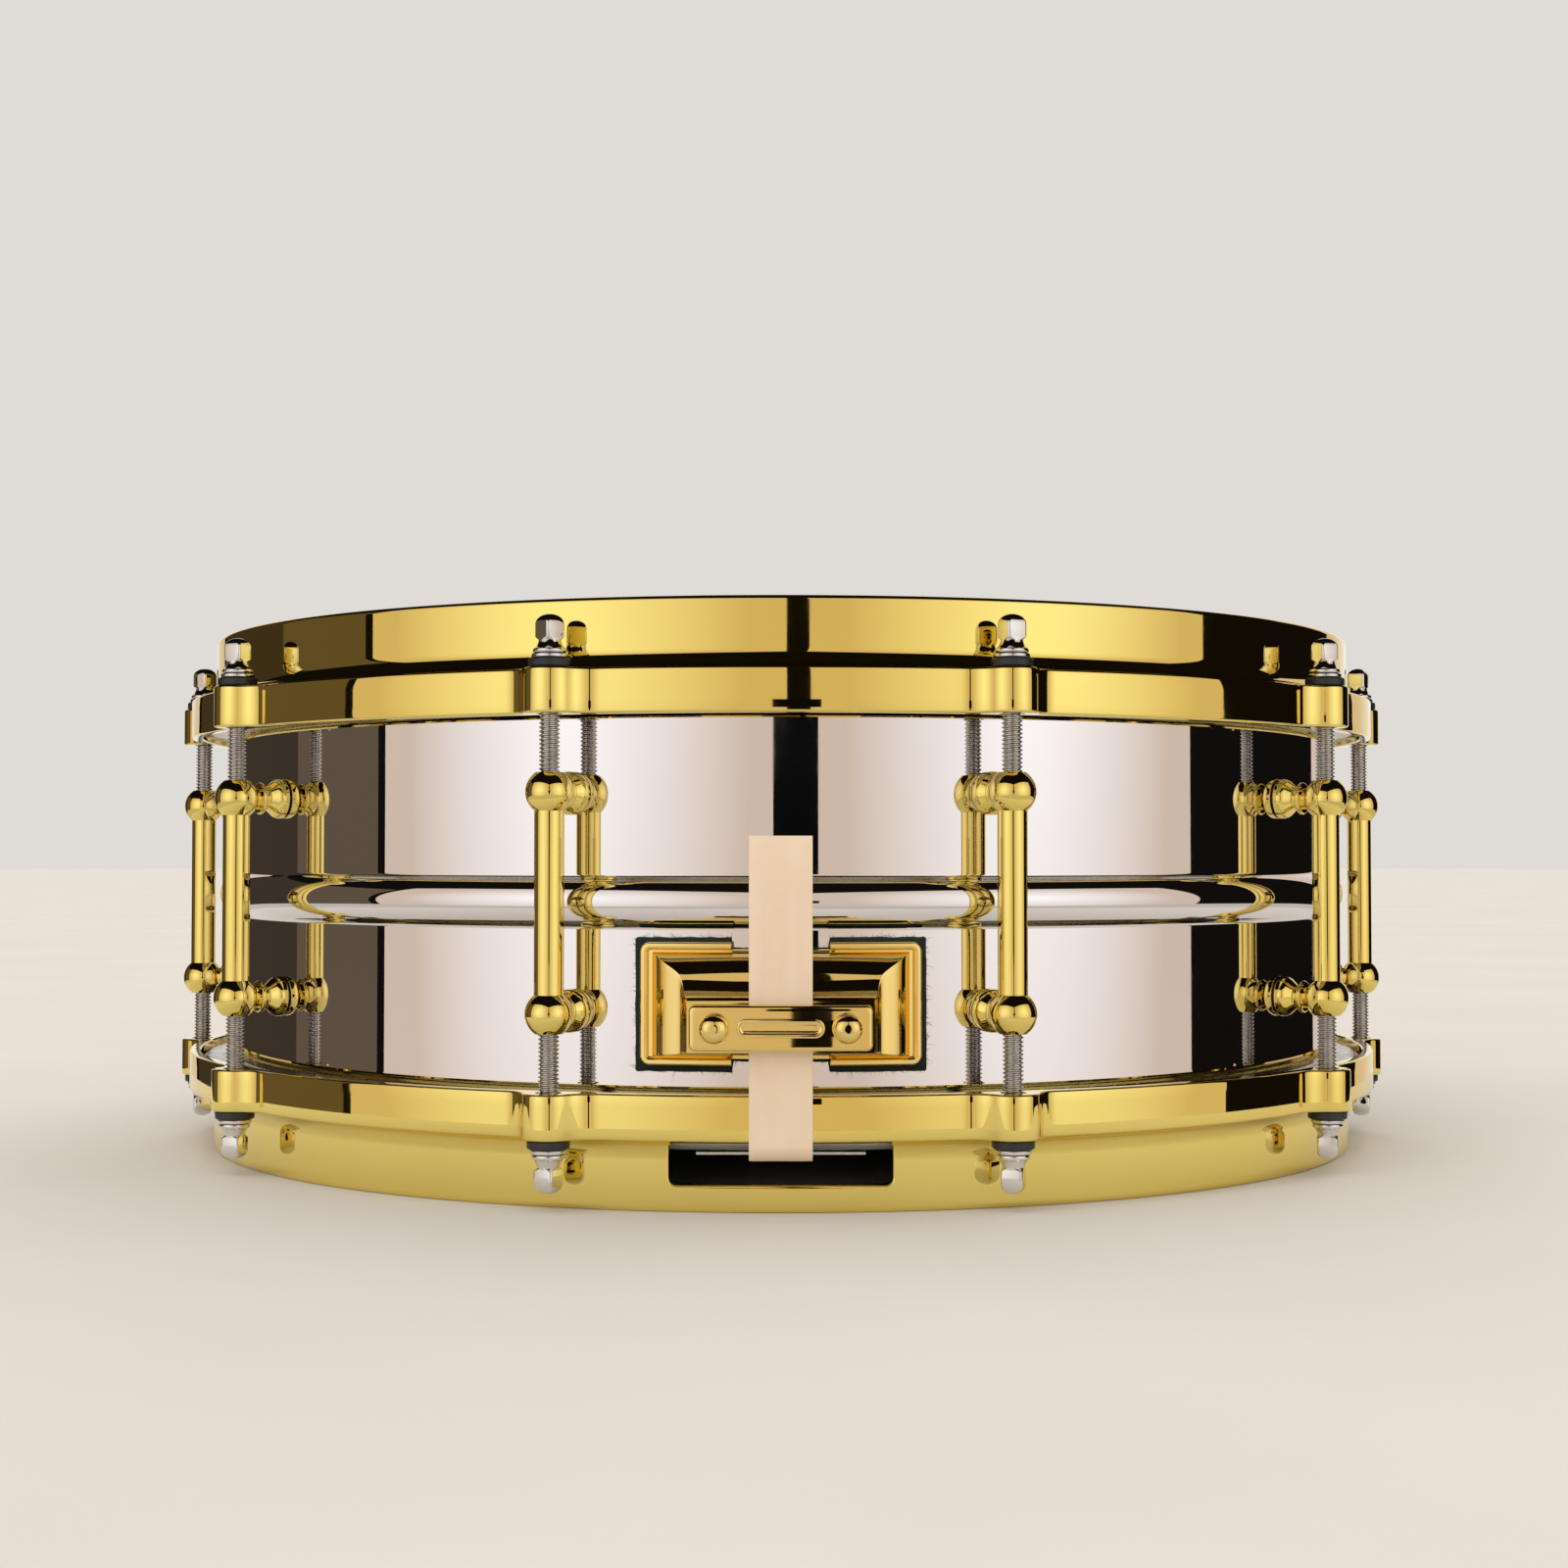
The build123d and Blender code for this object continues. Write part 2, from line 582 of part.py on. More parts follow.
def throw_base():
    plate = block((-BASE_X, BASE_X), (BASE_IN - 6, BASE_FRONT), BASE_Z, 3.0)
    cheek = side_plate(
        [
            (BASE_IN - 6, CHEEK_Z[0]),
            (CHEEK_FRONT, CHEEK_Z[0]),
            (CHEEK_FRONT, CHEEK_Z[1]),
            (BASE_IN - 6, CHEEK_Z[1]),
        ],
        [0, 5.0, 5.0, 0],
        CHEEK_X,
    )
    base = plate + left_and_right(cheek)
    base -= rod_along(BASE_IN, -60, 40)
    base -= shell_core(BEAD_GAP)
    pocket = cross_pin(HUB_R + 0.5, (ARM_X[0] - 0.3, CHEEK_X[0]), PIVOT_OUT, PIVOT_Z)
    base -= left_and_right(pocket)
    base -= cross_pin(PIN_R + 0.05, (-BASE_X - 1, BASE_X + 1), PIVOT_OUT, PIVOT_Z)
    return base - [outward(rod_along(TAPPED, BASE_IN - 3, BASE_FRONT + 1), z) for z in THROW_SCREWS_Z]


def throw_gasket():
    sheet = block((-BASE_X - 1, BASE_X + 1), (SHELL_R - 6, SHELL_R + 6), (BASE_Z[0] - 1, BASE_Z[1] + 1), 3.0)
    sheet &= ring(SHELL_R, BASE_IN, BASE_Z[0] - 2, BASE_Z[1] + 2)
    sheet -= shell_core(0)
    bead = ring(SHELL_R - 1, BASE_IN + 1, -BEAD_HALF - 0.4, BEAD_HALF + 0.4)
    return sheet - bead - [outward(rod_along(LUG_SCREW_HOLE, SHELL_R - 2, SHELL_R + 4), z) for z in THROW_SCREWS_Z]


def throw_lever():
    """Two arms on round hubs, joined by a curled thumb plate at the top."""
    hub = cross_pin(HUB_R, ARM_X, PIVOT_OUT, PIVOT_Z)
    arm = side_plate(
        [
            (PIVOT_OUT - 1.6, PIVOT_Z),
            (PIVOT_OUT + HUB_R - 0.2, PIVOT_Z),
            (ARM_FRONT, PIVOT_Z + 14),
            (ARM_FRONT, ARM_TOP),
            (ARM_BACK, ARM_TOP),
        ],
        [0, 0, 6.0, 2.0, 2.0],
        ARM_X,
    )
    thumb = side_plate(
        [
            (ARM_BACK + 1.6, ARM_TOP - 13),
            (ARM_BACK + 4.6, ARM_TOP - 13),
            (ARM_BACK + 4.6, ARM_TOP - 4),
            (ARM_BACK + 11.5, ARM_TOP - 1),
            (ARM_BACK + 11.5, ARM_TOP + 2.0),
            (ARM_BACK + 1.6, ARM_TOP - 0.5),
        ],
        [1.2, 1.2, 3.0, 1.3, 1.3, 2.0],
        (-ARM_X[1], ARM_X[1]),
    )
    lever = left_and_right(hub + arm)[0] + left_and_right(hub + arm)[1] + thumb
    lever -= cross_pin(PIN_R + 0.08, (-20, 20), PIVOT_OUT, PIVOT_Z)
    return lever - left_and_right(crank_pin(0.03, 0))


def crank_pin(extra, reach):
    """The pin that drives the carriage, carried by an arm, with some extra radius and reach."""
    out = PIVOT_OUT + CRANK * math.cos(math.radians(CRANK_START))
    height = PIVOT_Z + CRANK * math.sin(math.radians(CRANK_START))
    return cross_pin(CRANK_PIN_R + extra, (ARM_X[0] - reach, ARM_X[1] - 1), out, height)


def throw_carriage():
    """The slide between the arms, with a slot for the pivot pin and a yoke groove on each side."""
    body = block((-CARRIAGE_X, CARRIAGE_X), CARRIAGE_OUT, CARRIAGE_Z)
    body += block((-GUIDE_X, GUIDE_X), CARRIAGE_OUT, (CARRIAGE_Z[0], GUIDE_TOP))
    body = chamfer(body.faces().sort_by(Axis.Y)[0].edges(), 0.8)
    slot_low = PIVOT_Z - PIN_R - 0.3
    slot_high = PIVOT_Z + CARRIAGE_DROP + PIN_R + 0.3
    body -= block((-GUIDE_X, GUIDE_X), (PIVOT_OUT - 1.8, PIVOT_OUT + 1.8), (slot_low, slot_high))
    pin_z = PIVOT_Z + CRANK * math.sin(math.radians(CRANK_START))
    near = PIVOT_OUT + CRANK * math.cos(math.radians(CRANK_START)) - CRANK_PIN_R - 0.3
    far = PIVOT_OUT + CRANK + CRANK_PIN_R + 0.3
    groove = block((CARRIAGE_X - 2.9, CARRIAGE_X + 1), (near, far), (pin_z - 1.6, pin_z + 1.6))
    body -= left_and_right(groove)
    return body - Pos(0, -STEM_OUT, 0) * rod_along(STEM_R + 0.08, CARRIAGE_Z[0] - 1, CARRIAGE_Z[1] + 1)


def fine_knob():
    """A knurled wheel on the threaded stem that raises and lowers the jaw."""
    wheel = lathe(
        [(0, KNOB_Z[0]), (KNOB_R, KNOB_Z[0]), (KNOB_R, KNOB_Z[1]), (0, KNOB_Z[1])], [0, 0.8, 1.4, 0]
    )
    cut = Pos(KNOB_R + 0.25, 0, sum(KNOB_Z) / 2) * Cylinder(0.55, KNOB_Z[1] - KNOB_Z[0] + 2)
    wheel -= [Rot(0, 0, 360 / KNURLS * n) * cut for n in range(KNURLS)]
    return Pos(0, -STEM_OUT, 0) * (wheel + rod_along(STEM_R, JAW_Z[0] - 1.0, KNOB_Z[0] + 1))


def knob_spring():
    """An open coil that keeps the knob from rattling loose."""
    path = Helix(pitch=1.35, height=4.05, radius=2.75)
    wire = Plane(origin=path @ 0, z_dir=path % 0) * Circle(0.35)
    return Pos(0, -STEM_OUT, CARRIAGE_Z[1] + 0.45) * sweep(wire, path)


def jaw():
    x = CLAMP_LONG / 2
    body = block((-x, x), JAW_OUT, JAW_Z, CLAMP_CORNER)
    body -= Pos(0, -STEM_OUT, 0) * rod_along(STEM_R + 0.08, JAW_Z[0] - 1, JAW_Z[1] + 1)
    return body - [Pos(0, 0, THROW_CLAMP_Z) * clamp_drill(s, JAW_TIP) for s in (1, -1)]


pivot_pin = cross_pin(PIN_R, (-BASE_X - 0.1, BASE_X + 0.1), PIVOT_OUT, PIVOT_Z)
pivot_pin += left_and_right(cross_pin(2.6, (BASE_X + 0.1, BASE_X + 1.2), PIVOT_OUT, PIVOT_Z))

parts["throw_gasket"] = to_back(throw_gasket())
parts["throw_base"] = to_back(throw_base())
parts["throw_pivot_pin"] = to_back(pivot_pin)
parts["throw_lever"] = to_back(throw_lever())
parts["throw_crank_pins"] = [to_back(pin) for pin in left_and_right(crank_pin(0, 2.4))]
parts["throw_carriage"] = to_back(throw_carriage())
parts["throw_knob"] = to_back(fine_knob())
parts["throw_knob_spring"] = to_back(knob_spring())
parts["throw_jaw"] = to_back(jaw())
parts["throw_clamp_bar"] = to_back(Pos(0, 0, THROW_CLAMP_Z) * clamp_bar())
parts["throw_clamp_screws"] = [to_back(Pos(0, 0, THROW_CLAMP_Z) * s) for s in clamp_screws(JAW_TIP)]


# ---- Snares and straps ----
BUTT_STRAP_TOP = 17.0  # the uncut end of the strap stands up in front of the bead
THROW_STRAP_TOP = JAW_Z[1] + 0.4
STRAP_LEVEL = -64.2  # upper face of the straps under the head
STRAP_BEND = 4.0
STRAP_END = 156.0
TONGUE_END = 168.0
PLATE_HALF = 22.0
SOLDER_PLATE_T = 0.65


def strap(top):
    """A plastic strap: down outside the skirt, round the hoop's gate and in under the head."""
    line = [(-STRAP_OUT, top), (-STRAP_OUT, STRAP_LEVEL), (-STRAP_END, STRAP_LEVEL)]
    back = [
        (-STRAP_END, STRAP_LEVEL - STRAP_T),
        (-STRAP_FACE, STRAP_LEVEL - STRAP_T),
        (-STRAP_FACE, top),
    ]
    side = outline(line + back, [0, STRAP_BEND, 0, 0, STRAP_BEND + STRAP_T, 0])
    return Pos(-STRAP_WIDTH / 2, 0, 0) * extrude(Plane.YZ * side, STRAP_WIDTH)


def solder_plate():
    """The plate that the strands are soldered to, stepped up to the strap, with two strap slots."""
    low = STRAND_Z - STRAND_R - 0.02
    high = STRAP_LEVEL - STRAP_T - 0.1
    upper = [(143, low), (152.5, low), (154.5, high), (TONGUE_END, high)]
    lower = [(out, height - SOLDER_PLATE_T) for out, height in reversed(upper)]
    plate = outline([(-out, height) for out, height in upper + lower])
    sheet = Pos(-PLATE_HALF, 0, 0) * extrude(Plane.YZ * plate, 2 * PLATE_HALF)
    slots = [
        block((-STRAP_WIDTH / 2 - 0.7, STRAP_WIDTH / 2 + 0.7), (out, out + 1.6), (-70, -60))
        for out in (157.5, 162.5)
    ]
    return sheet - slots


strand = Pos(0, 0, STRAND_Z) * Rot(90, 0, 0) * Cylinder(STRAND_R, 2 * STRAND_HALF)
parts["snare_strands"] = [
    Pos(STRAND_PITCH * (n - (STRANDS - 1) / 2), 0, 0) * strand for n in range(STRANDS)
]
parts["snare_end_plates"] = around(solder_plate(), (0, 180))
parts["snare_strap_butt"] = strap(BUTT_STRAP_TOP)
parts["snare_strap_throw"] = to_back(strap(THROW_STRAP_TOP))


# ---- Files ----
def write(name, shapes):
    """Lifts a sub-part so that the drum stands on z = 0, and writes it."""
    solids = [s for shape in (shapes if isinstance(shapes, list) else [shapes]) for s in shape.solids()]
    lifted = [Pos(0, 0, HOOP_END) * solid for solid in solids]
    export_step(Compound(children=lifted) if len(lifted) > 1 else lifted[0], f"parts/{name}.step")


os.makedirs("parts", exist_ok=True)
for name, shapes in parts.items():
    write(name, shapes)
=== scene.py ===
import bmesh
import bpy
import math
import numpy as np
import random
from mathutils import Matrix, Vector


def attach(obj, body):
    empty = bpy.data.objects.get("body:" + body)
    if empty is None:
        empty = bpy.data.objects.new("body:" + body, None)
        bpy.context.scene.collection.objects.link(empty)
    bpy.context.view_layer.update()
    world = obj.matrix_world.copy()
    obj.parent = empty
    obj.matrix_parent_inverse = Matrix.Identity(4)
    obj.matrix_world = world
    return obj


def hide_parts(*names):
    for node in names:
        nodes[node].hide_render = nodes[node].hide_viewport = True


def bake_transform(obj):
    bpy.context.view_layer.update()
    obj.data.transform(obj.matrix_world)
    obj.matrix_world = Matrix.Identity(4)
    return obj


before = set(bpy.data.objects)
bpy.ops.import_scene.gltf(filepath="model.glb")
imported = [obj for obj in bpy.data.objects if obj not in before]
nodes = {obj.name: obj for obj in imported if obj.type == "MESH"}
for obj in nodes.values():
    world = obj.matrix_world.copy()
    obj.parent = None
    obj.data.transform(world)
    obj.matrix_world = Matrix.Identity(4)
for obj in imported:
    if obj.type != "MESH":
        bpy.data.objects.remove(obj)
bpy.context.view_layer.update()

scene = bpy.context.scene
MM = 0.001

# ---- Sizes shared with the CAD, in millimetres and degrees; heights are from the shell's middle plane ----
MIDDLE = 78.7
SHELL_R = 177.0
ROD_CIRCLE = 191.0
SHEET = 1.2
LUG_ANGLES = [36 * (n + 0.5) for n in range(10)]
STRAP_IN, STRAP_OUT = 190.7, 191.3
STRAP_HALF = 8.0
SHARP = 35


def place(points):
    """Points in millimetres about the middle plane, as points of the row frame in metres."""
    return [(x * MM, y * MM, (z + MIDDLE) * MM) for x, y, z in points]


# ---- Materials ----
class Shader:
    """A Principled material, with short calls for the nodes that vary it."""

    def __init__(self, name, **values):
        self.material = bpy.data.materials.new(name)
        self.material.use_nodes = True
        self.tree = self.material.node_tree
        self.surface = self.tree.nodes["Principled BSDF"]
        for socket, value in values.items():
            self.surface.inputs[socket.replace("_", " ")].default_value = value
        self.coords = self.tree.nodes.new("ShaderNodeTexCoord").outputs["Object"]

    def node(self, kind, **settings):
        made = self.tree.nodes.new("ShaderNode" + kind)
        for key, value in settings.items():
            setattr(made, key, value)
        return made

    def link(self, source, target):
        self.tree.links.new(source, target)

    def stretched(self, scale):
        mapping = self.node("Mapping")
        mapping.inputs["Scale"].default_value = scale
        self.link(self.coords, mapping.inputs["Vector"])
        return mapping.outputs["Vector"]

    def noise(self, scale, detail=4.0, rough=0.55, stretch=None):
        made = self.node("TexNoise")
        made.inputs["Scale"].default_value = scale
        made.inputs["Detail"].default_value = detail
        made.inputs["Roughness"].default_value = rough
        self.link(self.stretched(stretch) if stretch else self.coords, made.inputs["Vector"])
        return made.outputs["Fac"]

    def remap(self, value, low, high, start=0.3, stop=0.7):
        made = self.node("MapRange")
        for socket, number in (("From Min", start), ("From Max", stop), ("To Min", low), ("To Max", high)):
            made.inputs[socket].default_value = number
        self.link(value, made.inputs["Value"])
        return made.outputs["Result"]

    def blend(self, factor, first, second):
        made = self.node("Mix", data_type="RGBA")
        for socket, value in ((made.inputs[6], first), (made.inputs[7], second)):
            if isinstance(value, tuple):
                socket.default_value = (*value, 1)
            else:
                self.link(value, socket)
        self.link(factor, made.inputs[0])
        return made.outputs[2]

    def color(self, source):
        self.link(source, self.surface.inputs["Base Color"])

    def roughness(self, source):
        self.link(source, self.surface.inputs["Roughness"])

    def bump(self, height, strength, distance_mm):
        made = self.node("Bump")
        made.inputs["Strength"].default_value = strength
        made.inputs["Distance"].default_value = distance_mm * MM
        self.link(height, made.inputs["Height"])
        previous = self.surface.inputs["Normal"].links
        if previous:
            self.link(previous[0].from_socket, made.inputs["Normal"])
        self.link(made.outputs["Normal"], self.surface.inputs["Normal"])


def polished(name, clean, deep, low_rough, high_rough, wave=0.0):
    """Mirror-bright plating: slow colour drift, smudges that dull it in patches, and a slight waviness."""
    s = Shader(name, Metallic=1.0)
    s.color(s.blend(s.remap(s.noise(9, 3), 0, 1), clean, deep))
    smudge = s.remap(s.noise(38, 6, 0.62), low_rough, high_rough, 0.45, 0.75)
    s.roughness(smudge)
    if wave:
        s.bump(s.noise(22, 1, 0.4), 1.0, wave)
    return s.material


def satin(name, light, dark, rough, scale, grain=None, bump_mm=0.01):
    """Dull metal with a fine grain."""
    s = Shader(name, Metallic=1.0)
    grit = s.noise(scale, 5, 0.6, grain)
    s.color(s.blend(s.remap(grit, 0, 1), light, dark))
    s.roughness(s.remap(grit, rough * 0.75, rough * 1.35))
    s.bump(grit, 0.5, bump_mm)
    return s.material


def matte(name, light, dark, rough, scale, bump_mm, **values):
    """Dull plastic or rubber."""
    s = Shader(name, **values)
    grit = s.noise(scale, 6, 0.65)
    s.color(s.blend(s.remap(grit, 0, 1), light, dark))
    s.roughness(s.remap(grit, rough * 0.9, min(1.0, rough * 1.1)))
    s.bump(grit, 0.8, bump_mm)
    return s.material


def strap_material():
    """Cream plastic with fine streaks along the strap."""
    s = Shader("strap_sheet", Specular_IOR_Level=0.45, Subsurface_Weight=0.12, Subsurface_Scale=0.002)
    s.surface.inputs["Subsurface Radius"].default_value = (1.0, 0.6, 0.35)
    cloud = s.noise(60, 4)
    streak = s.noise(260, 3, 0.5, (1, 1, 0.08))
    body = s.blend(s.remap(cloud, 0, 1), (0.86, 0.675, 0.49), (0.81, 0.615, 0.435))
    s.color(s.blend(s.remap(streak, 0, 0.35), body, (0.90, 0.735, 0.55)))
    s.roughness(s.remap(streak, 0.34, 0.48))
    s.bump(streak, 0.35, 0.02)
    return s.material


COATING_EDGE = (0.1712, 0.1722)


def coated_material():
    """A sprayed white coating on the film, with its bare edge outside a ring."""
    s = Shader("coated_head", Specular_IOR_Level=0.35)
    speck = s.noise(900, 3, 0.7)
    cloud = s.noise(14, 4)
    split = s.node("SeparateXYZ")
    s.link(s.coords, split.inputs["Vector"])
    flat = s.node("CombineXYZ")
    s.link(split.outputs["X"], flat.inputs["X"])
    s.link(split.outputs["Y"], flat.inputs["Y"])
    radius = s.node("VectorMath", operation="LENGTH")
    s.link(flat.outputs["Vector"], radius.inputs[0])
    bare = s.remap(radius.outputs["Value"], 0, 1, *COATING_EDGE)
    white = s.blend(s.remap(cloud, 0, 1), (0.80, 0.79, 0.75), (0.74, 0.73, 0.69))
    s.color(s.blend(bare, white, (0.50, 0.49, 0.46)))
    s.roughness(s.remap(bare, 0.82, 0.28, 0, 1))
    s.bump(speck, 0.6, 0.06)
    return s.material


def clear_material():
    """A hazy clear film."""
    s = Shader("clear_head", Transmission_Weight=0.75, IOR=1.5, Specular_IOR_Level=0.5)
    haze = s.noise(35, 5)
    s.color(s.blend(s.remap(haze, 0, 1), (0.93, 0.94, 0.95), (0.86, 0.87, 0.88)))
    s.roughness(s.remap(haze, 0.16, 0.30))
    return s.material


def felt_material():
    """Dark pressed wool."""
    s = Shader("felt_cloth", Specular_IOR_Level=0.1, Sheen_Weight=0.35, Sheen_Roughness=0.6)
    s.surface.inputs["Sheen Tint"].default_value = (0.10, 0.14, 0.12, 1)
    tuft = s.noise(700, 6, 0.7)
    patch = s.noise(120, 3)
    wool = s.blend(s.remap(patch, 0, 1), (0.010, 0.016, 0.013), (0.018, 0.026, 0.021))
    s.color(s.blend(s.remap(tuft, 0, 0.5), wool, (0.035, 0.045, 0.038)))
    s.roughness(s.remap(tuft, 0.92, 1.0))
    s.bump(tuft, 1.0, 0.35)
    return s.material


GOLD, GOLD_DEEP = (0.90, 0.745, 0.23), (0.86, 0.685, 0.19)
finish = {
    "chrome_shell": polished("shell_chrome", (0.83, 0.80, 0.81), (0.80, 0.775, 0.785), 0.012, 0.05, 0.006),
    "gold_hoops": polished("hoop_gold", GOLD, GOLD_DEEP, 0.02, 0.06, 0.03),
    "gold_lugs": polished("lug_gold", GOLD, GOLD_DEEP, 0.03, 0.08),
    "gold_fittings": polished("fitting_gold", (0.90, 0.71, 0.27), (0.86, 0.65, 0.22), 0.025, 0.08),
    "coated_film": coated_material(),
    "clear_film": clear_material(),
    "flesh_aluminium": satin(
        "flesh_hoop_aluminium", (0.72, 0.72, 0.73), (0.62, 0.62, 0.63), 0.28, 420, (1, 1, 0.15)
    ),
    "rod_steel": satin("rod_thread_steel", (0.64, 0.62, 0.59), (0.48, 0.465, 0.44), 0.22, 600),
    "washer_nylon": matte("washer_black", (0.010, 0.010, 0.011), (0.022, 0.022, 0.023), 0.42, 500, 0.03),
    "washer_steel": polished("washer_chrome", (0.74, 0.73, 0.72), (0.66, 0.65, 0.64), 0.08, 0.2),
    "felt": felt_material(),
    "strap_plastic": strap_material(),
    "strand_steel": satin("strand_wire", (0.70, 0.69, 0.67), (0.58, 0.57, 0.55), 0.2, 900),
    "screw_steel": satin("screw_zinc", (0.66, 0.66, 0.65), (0.52, 0.52, 0.52), 0.3, 700),
    "gasket_rubber": matte("gasket_black", (0.014, 0.014, 0.015), (0.026, 0.026, 0.027), 0.6, 420, 0.04),
    "insert_brass": satin("insert_brass_turned", (0.72, 0.55, 0.26), (0.60, 0.44, 0.19), 0.26, 500),
}
head_chrome = polished("rod_head_chrome", (0.80, 0.78, 0.76), (0.73, 0.71, 0.69), 0.05, 0.13)

for node in nodes.values():
    for held in node.material_slots:
        held.material = finish[held.material.name.split(".")[0]]


# ---- Mesh helpers ----
def piece(name, points, faces, materials, body, replaced, slot, sharp=SHARP, face_materials=None):
    """A smooth-shaded mesh piece that rides on a body and stands for CAD nodes."""
    mesh = bpy.data.meshes.new(name)
    mesh.from_pydata(place(points), [], faces)
    for material in materials:
        mesh.materials.append(material)
    mesh.polygons.foreach_set("use_smooth", [True] * len(mesh.polygons))
    if face_materials:
        mesh.polygons.foreach_set("material_index", face_materials)
    mesh.update()
    mesh.set_sharp_from_angle(angle=math.radians(sharp))
    obj = bpy.data.objects.new(name, mesh)
    scene.collection.objects.link(obj)
    if body:
        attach(obj, body)
    if replaced:
        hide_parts(*replaced)
    return obj


def turned(point, degrees):
    """A front point turned round the drum's axis."""
    c, s = math.cos(math.radians(degrees)), math.sin(math.radians(degrees))
    return (point[0] * c - point[1] * s, point[0] * s + point[1] * c, point[2])


def grid_faces(rows, columns, closed_columns=False, closed_rows=False, offset=0):
    """Quads over rows x columns points stored row by row."""
    faces = []
    for r in range(rows if closed_rows else rows - 1):
        here, above = offset + r * columns, offset + (r + 1) % rows * columns
        for c in range(columns if closed_columns else columns - 1):
            beside = (c + 1) % columns
            faces.append((here + c, here + beside, above + beside, above + c))
    return faces


def circle(radius, count, shift=0.0):
    """Points round a circle, as (x, y)."""
    turns = [2 * math.pi * (n + shift) / count for n in range(count)]
    return [(radius * math.cos(a), radius * math.sin(a)) for a in turns]


def lathe(profile, segments):
    """A closed (radius, height) outline turned round Z."""
    points = []
    for n in range(segments):
        a = 2 * math.pi * n / segments
        points += [(r * math.sin(a), -r * math.cos(a), z) for r, z in profile]
    return points, grid_faces(segments, len(profile), True, True)


def stacked(rings):
    """A closed skin over rings of equal length, with flat ends."""
    count = len(rings[0])
    faces = grid_faces(len(rings), count, True)
    faces.append(tuple(reversed(range(count))))
    faces.append(tuple(range((len(rings) - 1) * count, len(rings) * count)))
    return [p for ring in rings for p in ring], faces


def helix(profile, pitch, start, turns, around):
    """A closed threaded bar on the Z axis. The profile is the radii over one pitch."""
    steps, rise = turns * around, len(profile)
    points, index = [], {}
    for i in range(steps + around + 1):
        a = 2 * math.pi * i / around
        for k in range(rise if i <= steps else 1):
            index[i, k] = len(points)
            r = profile[k]
            points.append((r * math.sin(a), -r * math.cos(a), start + pitch * (i / around + k / rise)))
    for i in range(steps + 1):
        index[i, rise] = index[i + around, 0]
    faces = []
    for i in range(steps):
        for k in range(rise):
            faces.append((index[i, k], index[i, k + 1], index[i + 1, k + 1], index[i + 1, k]))
    foot = [index[i, 0] for i in range(around)] + [index[0, k] for k in range(rise, 0, -1)]
    top = [index[steps + i, 0] for i in range(around)] + [index[steps, k] for k in range(rise, 0, -1)]
    for loop, height, flip in ((foot, start - 0.3, True), (top, start + pitch * turns + 0.6, False)):
        centre = len(points)
        points.append((0, 0, height))
        for a, b in zip(loop, loop[1:] + loop[:1]):
            faces.append((b, a, centre) if flip else (a, b, centre))
    return points, faces


# ---- Shell: bent sheet with a middle bead and rolled bearing edges ----
def arc(centre, radius, start, stop, steps):
    """Points on an arc in the (radius, height) plane, in degrees."""
    angles = [math.radians(start + (stop - start) * n / steps) for n in range(steps + 1)]
    return [(centre[0] + radius * math.cos(a), centre[1] + radius * math.sin(a)) for a in angles]


def shell_skin(inset):
    """One face of the sheet from its top lip to its bottom lip."""
    roll, roll_r, roll_z, lip = 3.0 - inset, 174, 60.5, 4.0 / math.sqrt(2)
    slant = roll / math.sqrt(2)
    bead, bead_centre, bead_half, root, root_bend = 7.956, 172.544, 7.2, 178.2, 1.2
    sweep = math.degrees(math.atan2(bead_half, root - bead_centre))
    half = [(roll_r - slant - lip, roll_z + slant - lip)] + arc((roll_r, roll_z), roll, 135, 0, 14)
    half += [(SHELL_R - inset, roll_z - (roll_z - bead_half) * n / 12) for n in range(1, 12)]
    half += arc((root, bead_half), root_bend + inset, 180, 180 + sweep, 6)
    half += arc((bead_centre, 0), bead - inset, sweep, 0, 14)[1:]
    return half + [(r, -z) for r, z in reversed(half[:-1])]


def cut(obj, cutters):
    """Cuts closed solids out of a piece."""
    for cutter in cutters:
        modifier = obj.modifiers.new("cut", "BOOLEAN")
        modifier.object = cutter
        modifier.solver = "EXACT"
    bpy.context.view_layer.update()
    result = obj.evaluated_get(bpy.context.evaluated_depsgraph_get())
    cleaned = bpy.data.meshes.new_from_object(result)
    obj.modifiers.clear()
    obj.data = cleaned
    for cutter in cutters:
        bpy.data.objects.remove(cutter)


WALL_TOLERANCE, WALL_FACING = 0.03, 0.9995


def true_normals(obj, radii):
    """Shades a piece's upright round walls by their radial normals, so that reflections stay smooth."""
    mesh = obj.data
    mesh.set_sharp_from_angle(angle=math.radians(SHARP))
    count = len(mesh.loops)
    owner = np.zeros(count, np.int32)
    mesh.loops.foreach_get("vertex_index", owner)
    place_of = np.zeros(len(mesh.vertices) * 3, np.float32)
    mesh.vertices.foreach_get("co", place_of)
    at = place_of.reshape(-1, 3)[owner].astype(float)
    flat = np.zeros(len(mesh.polygons) * 3, np.float32)
    mesh.polygons.foreach_get("normal", flat)
    sizes = np.zeros(len(mesh.polygons), np.int32)
    mesh.polygons.foreach_get("loop_total", sizes)
    face = np.repeat(flat.reshape(-1, 3), sizes, axis=0)
    radius = np.hypot(at[:, 0], at[:, 1])
    radial = np.stack([at[:, 0] / radius, at[:, 1] / radius, np.zeros(count)], axis=1)
    facing = (face * radial).sum(axis=1)
    near = np.zeros(count, bool)
    for r in radii:
        near |= np.abs(radius - r * MM) < WALL_TOLERANCE * MM
    wall = near & (np.abs(facing) > WALL_FACING)
    normals = np.where(wall[:, None], radial * np.sign(facing)[:, None], 0.0)
    mesh.normals_split_custom_set([tuple(n) for n in normals])


